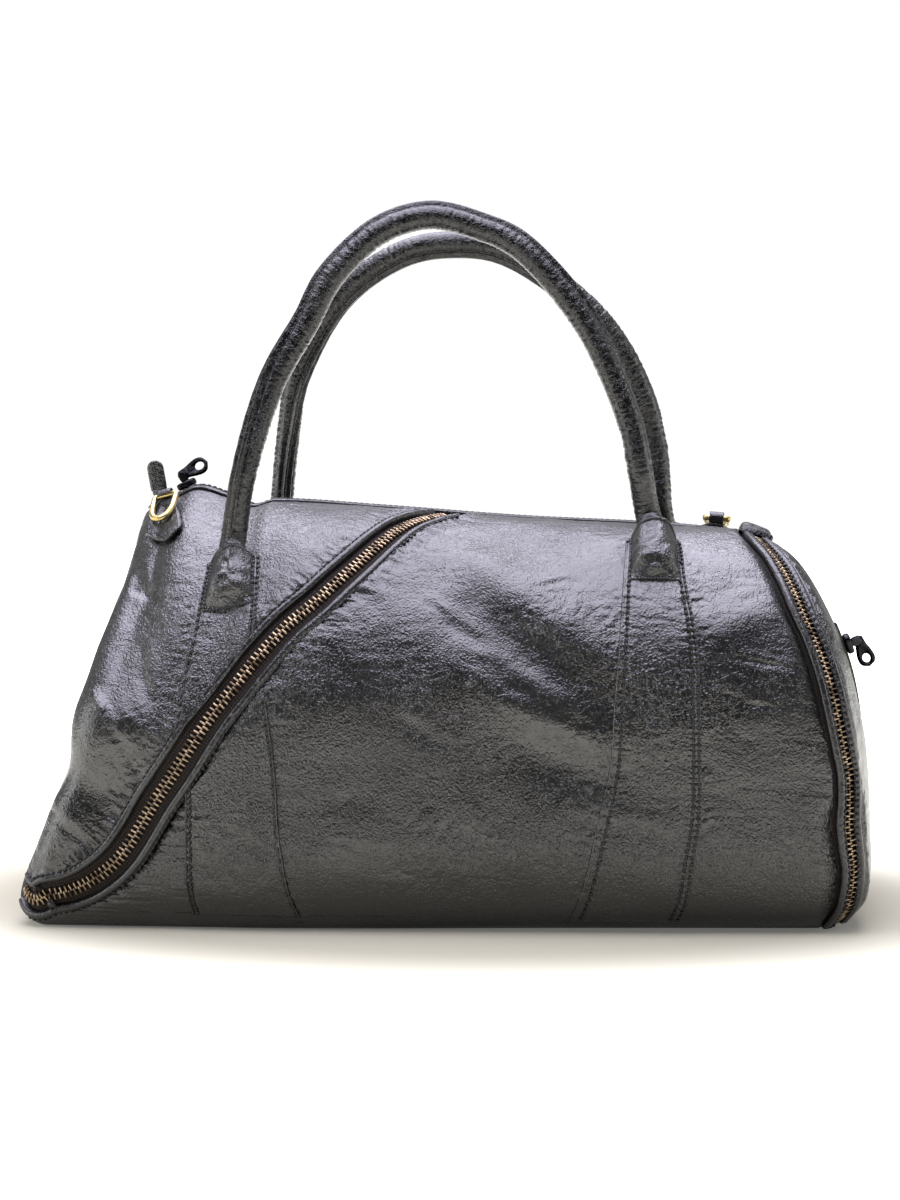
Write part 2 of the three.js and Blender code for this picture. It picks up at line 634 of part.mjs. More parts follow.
function makeEndPanels() {
  const tailFoot = upperEdge.at(-1).v;
  const rounds = [...FRONT_SHARES.map((share) => share * tailFoot), ...EDGE_ROWS, ...BASE_ROWS, ...BACK_ROWS];
  const ringAt = (s) => rounds.map((v) => ({ s, v }));
  const leftRings = [LEFT_RIM, -2.2, -2.5, -2.8].map(ringAt);
  addPiece('left_end_panel', discBody(leftRings, { s: -2.9999, v: 0.5 }, -WALL, 0), LEATHER);
  const rim = rounds.map((v) => endEdge(v, 1));
  const rightRings = [0, 0.5, 1].map((share) => rounds.map((v, i) => ({ s: lerp(rim[i], 2, share), v })));
  for (const s of [2.25, 2.6]) rightRings.push(ringAt(s));
  addPiece('right_end_panel', discBody(rightRings, { s: 2.9999, v: 0.5 }, -WALL, 0), LEATHER);
}

// Rows of places across a line on the skin, at millimetres to each side of it. With a head, the
// first rows are moved so that the strip begins level at that v.
function ribbon(line, sides, head) {
  const shifted = sides.map((distance) => shiftLine(line, -distance));
  return line.map((_, i) => shifted.map((column) => {
    const level = head + 0.012 * i;
    if (!head || i > 3 || column[i].v > level) return column[i];
    const [a, b] = column[0].v > level ? column : column.slice(i, i + 2);
    return { s: a.s + (level - a.v) * (b.s - a.s) / (b.v - a.v), v: level };
  }));
}

const TAPE_TOP = -WALL - TAPE_GAP;
const TAPE_SIDES = [-0.5, -0.25, 0, 0.25, 0.5].map((share) => share * TAPE_WIDTH);
const TEETH_SIDES = [-0.5, 0, 0.5].map((share) => share * TEETH_WIDTH);
const TEETH_FOOT = TAPE_TOP + SEAM_GAP;

function addZip(name, line, teethLine, head) {
  const tape = ribbon(line, TAPE_SIDES, head);
  const teeth = ribbon(teethLine, TEETH_SIDES, head);
  addPiece(`${name}_tape`, sheetBody(tape, TAPE_TOP - TAPE_THICKNESS, TAPE_TOP), TAPE);
  addPiece(`${name}_teeth`, sheetBody(teeth, TEETH_FOOT, TEETH_FOOT + TEETH_HEIGHT), ANTIQUE_BRASS);
}

function makeZips() {
  const stations = [-1.55, -1.4, -1.24, -1.1, -1, -0.92, -0.82, -0.72, -0.64, -0.54, -0.38, -0.2, 0, 0.2, 0.4, 0.6,
    0.8, 0.9];
  const main = stations.map((s) => ({ s, v: 0 }));
  addZip('main_zip', main, main.slice(2, -1));
  const below = moveAlong({ s: 0, v: 0 }, 0, TAPE_WIDTH / 2 + SEAM_GAP * 2).v;
  addZip('diagonal_zip', diagonalLine, diagonalLine, below);
  const end = lowerRows.filter((v) => v > END_ZIP_HEAD && v < END_ZIP_FOOT).map((v) => ({ s: endLine(v), v }));
  addZip('end_zip', end, end);
}

// Place on a band: share across it, and share of the way down. Its rows run level at the top and
// turn towards a slanted foot.
function bandPlace(band, across, down) {
  const own = (rail) => rail.v.at(-1) - rail.v[0];
  const mean = (own(band.left) + own(band.right)) / 2;
  const slant = THREE.MathUtils.smoothstep(down, 0.4, 1);
  const at = (rail) => rail.v[0] + down * lerp(mean, own(rail), slant);
  const from = at(band.left);
  const to = at(band.right);
  const s = lerp(smooth(from, band.left.v, band.left.s), smooth(to, band.right.v, band.right.s), across);
  const v = lerp(from, to, across);
  return band.side > 0 ? { s, v } : { s, v: 4 - v };
}

function bandLength(band) {
  let length = 0;
  const parts = 12;
  for (let i = 1; i <= parts; i += 1) {
    const b = bandPlace(band, 0.5, i / parts);
    const before = bandPlace(band, 0.5, (i - 1) / parts);
    length += plainSkin(b.s, b.v).distanceTo(plainSkin(before.s, before.v));
  }
  return length;
}

// Rise of a band over the handle end tucked under it: millimetres down from the band's top
const HUMP = { down: [0, 10, 22, 36, 44, 54], rise: [16.2, 12.6, 10.8, 10.2, 5, 0] };
const HUMP_ACROSS = { at: [0, 0.2, 0.35, 0.65, 0.8, 1], share: [0, 0.68, 1, 1, 0.68, 0] };

function makeBands() {
  const cols = [0, 0.2, 0.35, 0.5, 0.65, 0.8, 1];
  for (const band of BANDS) {
    const length = bandLength(band);
    const downs = band.hump ? [...HUMP.down] : [0];
    const head = (band.left.v[0] + band.right.v[0]) / 2;
    const foot = (band.left.v.at(-1) + band.right.v.at(-1)) / 2;
    const shared = band.side > 0 ? lowerRows : BACK_ROWS.map((v) => 4 - v).reverse();
    for (const v of shared) {
      const down = length * (v - head) / (foot - head);
      if (down > downs.at(-1) + 9 && down < length - 2) downs.push(down);
    }
    downs.push(length);
    const grid = downs.map((down) => cols.map((across) => bandPlace(band, across, down / length)));
    const low = (place, i, j) => {
      const hump = band.hump ? steps(downs[i], HUMP.down, HUMP.rise) : 0;
      return LAYER_GAP + hump * steps(cols[j], HUMP_ACROSS.at, HUMP_ACROSS.share);
    };
    const high = (place, i, j) => low(place, i, j) + BAND_THICKNESS;
    if (band.side < 0) grid.forEach((row) => row.reverse());
    addPiece(band.name, sheetBody(grid, low, high), LEATHER);
  }
}

// The end of a handle under its band, from its tip up to just above the band's top edge
const HANDLE_TIP = { down: [34, 22, 10, 0, -10], lift: [5.4, 5.7, 6.4, 8, 11] };
// Where the section turns from lying on its band to standing upright, from the handle's end
const HANDLE_TURN = { from: 40, over: 60 };
const HANDLE_SECTION = {
  from: [0, 12, 24, 34, 46, 60],
  thick: [HANDLE_END_THICKNESS / 2, 3.9, 4.5, 5.5, 6.9, HANDLE_DIAMETER / 2],
  wide: [HANDLE_END_WIDTH / 2, 9, 8.7, 8.3, 7.9, HANDLE_DIAMETER / 2],
};

function handleTip(band) {
  const length = bandLength(band);
  return HANDLE_TIP.down.map((down, i) => {
    const place = bandPlace(band, 0.5, down / length);
    return onSkin(place.s, place.v, HANDLE_TIP.lift[i]);
  });
}

function makeHandle(name, leftBand, rightBand, arch, side) {
  const find = (wanted) => BANDS.find((band) => band.name === wanted);
  const points = [
    ...handleTip(find(leftBand)),
    ...arch.across.map((across, i) => new THREE.Vector3(
      across * HANDLE_HALF_SPAN,
      arch.lean[i] * HALF_DEPTH,
      RIDGE_HEIGHT + arch.rise[i] * HANDLE_RISE,
    )),
    ...handleTip(find(rightBand)).reverse(),
  ];
  const path = new THREE.CatmullRomCurve3(points, false, 'centripetal');
  path.arcLengthDivisions = 600;
  const length = path.getLength();
  const near = [0, 8, 16, 24, 34, 45, 57];
  const middle = 24;
  const stations = [...near];
  const span = length - 2 * near.at(-1);
  for (let i = 1; i < middle; i += 1) stations.push(near.at(-1) + span * i / middle);
  for (const d of [...near].reverse()) stations.push(length - d);
  const upright = new THREE.Vector3(0, -side, 0.3);
  const ends = [find(leftBand), find(rightBand)].map((band) => {
    const place = bandPlace(band, 0.5, 0.1);
    return outward(plainSkin, place.s, place.v);
  });
  const sides = 8;
  const rings = stations.map((d) => {
    const t = path.getPointAt(d / length);
    const along = path.getTangentAt(d / length);
    const fromEnd = Math.min(d, length - d);
    const turned = clamp((fromEnd - HANDLE_TURN.from) / HANDLE_TURN.over, 0, 1);
    const facing = ends[d < length / 2 ? 0 : 1].clone().lerp(upright, turned);
    const thickDir = facing.addScaledVector(along, -facing.dot(along)).normalize();
    const wideDir = along.clone().cross(thickDir);
    const thick = steps(fromEnd, HANDLE_SECTION.from, HANDLE_SECTION.thick);
    const wide = steps(fromEnd, HANDLE_SECTION.from, HANDLE_SECTION.wide);
    return Array.from({ length: sides }, (_, k) => {
      const angle = 2 * Math.PI * (k + 0.5) / sides;
      return t.clone().addScaledVector(thickDir, thick * Math.cos(angle))
        .addScaledVector(wideDir, wide * Math.sin(angle));
    });
  });
  addPiece(name, ringBody(rings, false), DARK_LEATHER);
}

const FRAME_REACH = 8;

// Frame on the skin: x along it, z out of it. A negative side turns x for the back of the bag.
function skinFrame(s, v, lift, side, towards) {
  const out = outward(foldedSkin, s, v);
  const origin = onSkin(s, v, lift);
  const [ahead, behind] = [FRAME_REACH, -FRAME_REACH].map((reach) => moveAlong({ s, v }, reach, 0));
  const x = plainSkin(ahead.s, v).sub(plainSkin(behind.s, v)).multiplyScalar(side).normalize();
  let z = out;
  if (towards) {
    const up = onSkin(s, v, 0).sub(onSkin(towards.s, towards.v, 0)).normalize();
    x.addScaledVector(up, -x.dot(up)).normalize();
    z = x.clone().cross(up).normalize();
  } else {
    x.addScaledVector(z, -x.dot(z)).normalize();
  }
  const y = z.clone().cross(x);
  return new THREE.Matrix4().makeBasis(x, y, z).setPosition(origin);
}

// D-ring about its bar, which lies on the local x axis; the ring hangs towards local -y
const RING_HALF = (RING_WIDTH - RING_WIRE) / 2;
const RING_DROP = RING_LENGTH - RING_WIRE;
const RING_OUTLINE = {
  across: [0, 0.62, 0.94, 1, 1, 0.95, 0.8, 0.48, 0],
  down: [0, 0, 0.03, 0.1, 0.36, 0.6, 0.78, 0.93, 1],
};

function ringGeometry() {
  const half = RING_OUTLINE.across.map((across, i) => (
    new THREE.Vector3(across * RING_HALF, -RING_OUTLINE.down[i] * RING_DROP, 0)));
  const mirrored = half.slice(1, -1).reverse().map((p) => new THREE.Vector3(-p.x, p.y, 0));
  const line = [...half, ...mirrored];
  const sides = 8;
  const rings = line.map((p, i) => {
    const before = line[(i + line.length - 1) % line.length];
    const after = line[(i + 1) % line.length];
    const along = after.clone().sub(before).normalize();
    const out = new THREE.Vector3(along.y, -along.x, 0);
    return Array.from({ length: sides }, (_, k) => {
      const angle = 2 * Math.PI * (k + 0.5) / sides;
      return p.clone().addScaledVector(out, Math.cos(angle) * RING_WIRE / 2)
        .add(new THREE.Vector3(0, 0, Math.sin(angle) * RING_WIRE / 2));
    });
  });
  return ringBody(rings, true);
}

// Leather tab under a D-ring, with a loop round the ring's bar. Rows: millimetres from the bar,
// and the reach to each side.
const RING_TAB = {
  down: [-2, 8, 18, 27, 34, 40],
  left: [-4.5, -7, -8.5, -8, -5, -1],
  right: [4.5, 8, 13, 15, 12, 3],
};
const RING_STAND = 5.5;
const RING_LIE = 0.45;

function makeRing(prefix, s, v, hang, side, seat) {
  const bar = { s, v };
  const below = { s: s + hang.s, v: v + hang.v };
  const reach = onSkin(bar.s, bar.v, 0).distanceTo(onSkin(below.s, below.v, 0));
  const near = { s: s + hang.s * RING_LIE, v: v + hang.v * RING_LIE };
  const place = skinFrame(s, v, seat + RING_STAND, side, near);
  const grid = RING_TAB.down.map((down, i) => {
    const centre = { s: lerp(bar.s, below.s, down / reach), v: lerp(bar.v, below.v, down / reach) };
    return [0, 0.25, 0.5, 0.75, 1].map((across) => (
      moveAlong(centre, side * lerp(RING_TAB.left[i], RING_TAB.right[i], across), 0)));
  });
  const strip = sheetBody(grid, seat, seat + RING_TAB_THICKNESS);
  const hole = RING_WIRE / 2 + 0.4;
  const loopWall = 1.4;
  const loopHalf = 3.9;
  const turns = 14;
  const rings = Array.from({ length: turns }, (_, k) => {
    const angle = 2 * Math.PI * (k + 0.5) / turns;
    return [[hole, -loopHalf], [hole + loopWall, -loopHalf], [hole + loopWall, loopHalf], [hole, loopHalf]]
      .map(([radius, x]) => new THREE.Vector3(x, radius * Math.cos(angle), radius * Math.sin(angle)));
  });
  const loop = ringBody(rings, true).applyMatrix4(place);
  const bore = new THREE.CylinderGeometry(hole, hole, loopHalf * 6, turns).rotateZ(Math.PI / 2);
  bore.applyMatrix4(place);
  addPiece(`${prefix}_tab`, cut(join(strip, loop), bore), DARK_LEATHER);
  addPiece(prefix, ringGeometry(), PALE_BRASS, place);
}

// Zip pull: a drop-shaped plate in the local xz plane that turns about the local y axis
const EYE = { x: 0.68, half: 4, height: 2.8 };
const PULL_HOLE = PIVOT_PIN / 2 + 0.35;

function pullGeometry() {
  const head = PULL_WIDTH / 2;
  const root = 2.4;
  const far = PULL_LENGTH - head - root;
  const outline = new THREE.Shape();
  const points = [];
  for (let k = 0; k <= 6; k += 1) {
    const angle = Math.PI / 2 + Math.PI * k / 6;
    points.push([root * Math.cos(angle), root * Math.sin(angle)]);
  }
  for (let k = 0; k <= 8; k += 1) {
    const angle = -Math.PI / 2 + Math.PI * k / 8;
    points.push([far + head * Math.cos(angle), head * Math.sin(angle)]);
  }
  points.forEach(([x, y], i) => (i ? outline.lineTo(x, y) : outline.moveTo(x, y)));
  const hole = (x, a, b, count) => {
    const path = new THREE.Path();
    for (let k = 0; k < count; k += 1) {
      const angle = -2 * Math.PI * k / count;
      const px = x + a * Math.cos(angle);
      const py = b * Math.sin(angle);
      if (k) path.lineTo(px, py);
      else path.moveTo(px, py);
    }
    return path;
  };
  outline.holes.push(hole(0, PULL_HOLE, PULL_HOLE, 10), hole(PULL_LENGTH * EYE.x, EYE.half * 0.85, EYE.height, 10));
  return new THREE.ExtrudeGeometry(outline, { depth: PULL_THICKNESS, bevelEnabled: false })
    .translate(0, 0, -PULL_THICKNESS / 2).rotateX(Math.PI / 2);
}

// Slider body with two ears and the pin that carries the pull
const PIVOT_LIFT = 8.4;
const EAR = { inner: PULL_THICKNESS / 2 + 0.35, wall: 1, radius: 1.9 };

function sliderGeometry() {
  const half = SLIDER_LENGTH / 2;
  const wide = SLIDER_WIDTH / 2;
  const outline = new THREE.Shape();
  [[-half, -wide * 0.6], [-half * 0.7, -wide], [half * 0.5, -wide], [half, -wide * 0.7], [half, wide * 0.7],
    [half * 0.5, wide], [-half * 0.7, wide], [-half, wide * 0.6]]
    .forEach(([x, y], i) => (i ? outline.lineTo(x, y) : outline.moveTo(x, y)));
  const body = new THREE.ExtrudeGeometry(outline, { depth: SLIDER_THICKNESS, bevelEnabled: false })
    .translate(0, 0, 0.2);
  const ears = [-1, 1].map((side) => {
    const ear = new THREE.Shape();
    ear.moveTo(-EAR.radius * 1.4, SLIDER_THICKNESS - 0.5);
    ear.lineTo(EAR.radius * 1.4, SLIDER_THICKNESS - 0.5);
    for (let k = 0; k <= 6; k += 1) {
      const angle = Math.PI * k / 6;
      ear.lineTo(EAR.radius * Math.cos(angle), PIVOT_LIFT + EAR.radius * Math.sin(angle));
    }
    return new THREE.ExtrudeGeometry(ear, { depth: EAR.wall, bevelEnabled: false }).rotateX(Math.PI / 2)
      .translate(0, side > 0 ? EAR.inner + EAR.wall : -EAR.inner, 0);
  });
  const pin = new THREE.CylinderGeometry(PIVOT_PIN / 2, PIVOT_PIN / 2, 2 * EAR.inner + EAR.wall, 10)
    .translate(0, 0, PIVOT_LIFT);
  return join(body, ears[0], ears[1], pin);
}

function makeSlider(prefix, s, v, sit, tilt) {
  const place = skinFrame(s, v, 0, 1);
  const lifted = place.clone().multiply(new THREE.Matrix4().makeTranslation(0, 0, sit));
  addPiece(`${prefix}_slider`, sliderGeometry(), BLACK_METAL, lifted);
  const pivot = lifted.clone().multiply(new THREE.Matrix4().makeTranslation(0, 0, PIVOT_LIFT))
    .multiply(new THREE.Matrix4().makeRotationY(-tilt));
  addPiece(`${prefix}_pull`, pullGeometry(), BLACK_METAL, pivot);
}

// Standing leather tab at the left end of the top zip
function makeMainEndTab() {
  const half = END_TAB_WIDTH / 2;
  const neck = half * 0.55;
  const outline = new THREE.Shape();
  outline.moveTo(-neck, -END_TAB_ROOT);
  outline.lineTo(neck, -END_TAB_ROOT);
  outline.lineTo(neck, END_TAB_SHOULDER - 3);
  outline.lineTo(half, END_TAB_SHOULDER);
  outline.lineTo(half, END_TAB_HEIGHT - half);
  outline.absarc(0, END_TAB_HEIGHT - half, half, 0, Math.PI, false);
  outline.lineTo(-half, END_TAB_SHOULDER);
  outline.lineTo(-neck, END_TAB_SHOULDER - 3);
  const tab = new THREE.ExtrudeGeometry(outline, { depth: END_TAB_THICKNESS, bevelEnabled: false, curveSegments: 8 })
    .translate(0, 0, -END_TAB_THICKNESS / 2).rotateX(Math.PI / 2);
  const foot = onSkin(-1.5, 0, 0);
  const place = new THREE.Matrix4().makeRotationY(-END_TAB_LEAN).setPosition(foot);
  addPiece('main_zip_end_tab', tab, DARK_LEATHER, place);
}

// Folded leather over the head of the end zip
function makeEndZipTab() {
  const cols = [1.08, 1.24, 1.4, 1.56, 1.72];
  const rows = [-0.045, -0.02, 0.01, 0.035, 0.055];
  const grid = rows.map((v) => cols.map((s) => ({ s, v })));
  const crown = (place, i, j) => {
    const a = (i / (rows.length - 1) - 0.5) * 2;
    const b = (j / (cols.length - 1) - 0.5) * 2;
    return LAYER_GAP + 2 + 3 * (1 - a * a) * (1 - b * b * 0.6);
  };
  addPiece('end_zip_tab', sheetBody(grid, LAYER_GAP, crown), DARK_LEATHER);
}

// Short pocket zip on the right end, running down towards the middle
function makePocketZip() {
  const line = POCKET_ZIP.s.map((s) => ({ s, v: POCKET_ZIP.v }));
  const grid = ribbon(line, [-0.5, 0, 0.5].map((share) => share * POCKET_ZIP.width));
  addPiece('pocket_zip_tape', sheetBody(grid, LAYER_GAP, LAYER_GAP + TAPE_THICKNESS), TAPE);
}

makeFrontUpperPanel();
makeFrontLowerPanel();
makeBackPanel();
makeBasePanel();
makeEndPanels();
makeZips();
makePocketZip();
makeBands();
makeHandle('front_handle', 'front_left_upper_band', 'front_right_band', FRONT_ARCH, 1);
makeHandle('back_handle', 'back_left_band', 'back_right_band', BACK_ARCH, -1);
makeRing('left_ring', -1.08, 0.06, { s: 0.12, v: 0.13 }, 1, 1.2);
makeRing('right_ring', 0.93, 4 - 0.062, { s: -0.02, v: -0.1 }, -1, LAYER_GAP);
makeSlider('main_zip', -0.965, 0, -0.4, THREE.MathUtils.degToRad(2));
makeSlider('pocket_zip', 2.47, POCKET_ZIP.v, LAYER_GAP + TAPE_THICKNESS, THREE.MathUtils.degToRad(4));
makeMainEndTab();
makeEndZipTab();

export default bag;
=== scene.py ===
"""A slouching black leather boston bag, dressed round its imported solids.

Shapes are worked out in millimetres and stored in metres. +X runs to the viewer's right, the
front with the diagonal zip faces -Y and +Z is up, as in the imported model.
"""
import logging
import math
from collections.abc import Callable, Iterable, Sequence
from dataclasses import dataclass, field
from enum import Enum

import bpy
import numpy as np
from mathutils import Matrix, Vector


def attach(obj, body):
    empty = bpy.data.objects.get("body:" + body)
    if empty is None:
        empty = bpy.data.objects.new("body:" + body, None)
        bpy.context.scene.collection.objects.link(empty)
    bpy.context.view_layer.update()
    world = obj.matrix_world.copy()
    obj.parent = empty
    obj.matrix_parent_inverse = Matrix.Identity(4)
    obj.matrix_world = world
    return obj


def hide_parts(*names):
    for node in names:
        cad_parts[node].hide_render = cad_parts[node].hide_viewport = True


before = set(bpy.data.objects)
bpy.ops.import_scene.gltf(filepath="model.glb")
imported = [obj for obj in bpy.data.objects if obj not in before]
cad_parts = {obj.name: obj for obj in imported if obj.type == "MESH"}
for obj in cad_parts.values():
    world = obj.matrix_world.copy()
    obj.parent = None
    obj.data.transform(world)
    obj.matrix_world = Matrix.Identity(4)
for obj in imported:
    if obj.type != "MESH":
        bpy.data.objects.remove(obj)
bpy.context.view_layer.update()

Array = np.ndarray
MM = 0.001
LOG = logging.getLogger("boston_bag")


class Slot(Enum):
    """The record's material slots."""

    LEATHER = "leather"
    DARK_LEATHER = "dark_leather"
    TAPE = "zip_tape"
    ANTIQUE_BRASS = "antique_brass"
    PALE_BRASS = "pale_brass"
    BLACK_METAL = "black_metal"


# ---------------------------------------------------------------- curves, noise and lines


@dataclass(frozen=True)
class Table:
    """Values at named stations."""

    at: tuple[float, ...]
    value: tuple[float, ...]

    def smooth(self, t: Array | float) -> Array:
        """Cubic curve through the stations; each slope is that between the two neighbours.

        Args:
            t: Places to read, held inside the stations' range.

        Returns:
            The curve's values.
        """
        xs, ys = np.array(self.at), np.array(self.value)
        x = np.clip(t, xs[0], xs[-1])
        i = np.clip(np.searchsorted(xs, x, side="left") - 1, 0, len(xs) - 2)
        before = np.maximum(np.arange(len(xs)) - 1, 0)
        after = np.minimum(np.arange(len(xs)) + 1, len(xs) - 1)
        slope = (ys[after] - ys[before]) / (xs[after] - xs[before])
        h = xs[i + 1] - xs[i]
        f = (x - xs[i]) / h
        f2, f3 = f * f, f * f * f
        return (
            (2 * f3 - 3 * f2 + 1) * ys[i]
            + (f3 - 2 * f2 + f) * h * slope[i]
            + (3 * f2 - 2 * f3) * ys[i + 1]
            + (f3 - f2) * h * slope[i + 1]
        )

    def straight(self, t: Array | float) -> Array:
        """Straight steps between the stations."""
        return np.interp(t, self.at, self.value)


def ease(t: Array, low: float, high: float) -> Array:
    """Smooth step from 0 at low to 1 at high."""
    f = np.clip((t - low) / (high - low), 0, 1)
    return f * f * (3 - 2 * f)


def unit(vectors: Array) -> Array:
    """Vectors at length 1."""
    return vectors / np.maximum(np.linalg.norm(vectors, axis=-1, keepdims=True), 1e-12)


def length_along(points: Array) -> Array:
    """Length from the first point to each one."""
    steps = np.linalg.norm(np.diff(points, axis=0), axis=1)
    return np.concatenate([[0], np.cumsum(steps)])


def circle(count: int) -> Array:
    """Evenly spaced angles of a full turn."""
    return np.arange(count) * 2 * np.pi / count


def squared(wave: Array, power: float) -> Array:
    """A sine or cosine with its size raised to a power below 1, for a squarer outline."""
    return np.sign(wave) * np.abs(wave) ** power


@dataclass
class Noise:
    """Smooth gradient noise in space, about -1 to 1, the same for the same seed."""

    seed: int

    def __post_init__(self) -> None:
        """Shuffles the lattice."""
        rng = np.random.default_rng(self.seed)
        self.order = np.tile(rng.permutation(256), 2)
        self.slopes = unit(rng.normal(size=(256, 3)))

    def at(self, points: Array) -> Array:
        """Blends the eight lattice slopes round each point.

        Args:
            points: (..., 3) places, one unit per wavelength.

        Returns:
            Noise values.
        """
        cell = np.floor(points).astype(int)
        part = points - cell
        fade = part**3 * (part * (part * 6 - 15) + 10)
        total = np.zeros(points.shape[:-1])
        for corner in np.ndindex(2, 2, 2):
            spot = (cell + corner) & 255
            index = self.order[self.order[self.order[spot[..., 0]] + spot[..., 1]] + spot[..., 2]]
            weight = np.prod(np.where(corner, fade, 1 - fade), axis=-1)
            total += weight * np.sum((part - corner) * self.slopes[index], axis=-1)
        return total * 1.6

    def ridged(self, points: Array, sharp: float = 1.0) -> Array:
        """Creased noise: 1 along thin lines where the noise crosses zero, and falling off."""
        return 1 - np.minimum(np.abs(self.at(points)) * 2 * sharp, 1)


@dataclass(frozen=True)
class Fold:
    """One dent or fold pressed into the skin; lengths are shares of the ridge's height."""

    s: float
    v: float
    turn: float
    length: float
    width: float
    depth: float


FOLDS = (
    Fold(-1.5, 0.24, 55, 0.13, 0.055, -0.015),  # left shoulder hollow
    Fold(-0.97, 0.43, 60, 0.2, 0.11, -0.02),  # left waist hollow
    Fold(-0.98, 0.62, 20, 0.16, 0.06, 0.014),  # left waist fold
    Fold(-1.0, 0.76, 25, 0.15, 0.06, -0.016),  # left foot hollow
    Fold(0.23, 0.35, 40, 0.25, 0.06, 0.016),  # upper diagonal ridge
    Fold(0.14, 0.44, 38, 0.24, 0.07, -0.014),  # upper diagonal hollow
    Fold(0.25, 0.57, 28, 0.2, 0.06, 0.014),  # lower diagonal ridge
    Fold(0.3, 0.66, 20, 0.22, 0.07, -0.012),  # lower diagonal hollow
    Fold(0.25, 0.19, 10, 0.14, 0.07, -0.012),  # crown hollow
    Fold(0.8, 0.36, -30, 0.14, 0.06, 0.01),  # right shoulder fold
    Fold(-0.05, 0.84, 0, 0.5, 0.12, 0.014),  # front sag
    Fold(0.1, 3.2, 0, 0.6, 0.14, 0.014),  # back sag
    Fold(-0.1, 3.5, 35, 0.3, 0.08, -0.016),  # back diagonal hollow
    Fold(0.05, 3.42, 35, 0.25, 0.07, 0.014),  # back diagonal ridge
    Fold(-2.45, 3.3, 0, 0.16, 0.16, -0.03),  # left end hollow
    Fold(2.5, 3.4, 0, 0.14, 0.14, -0.02),  # right end hollow
)


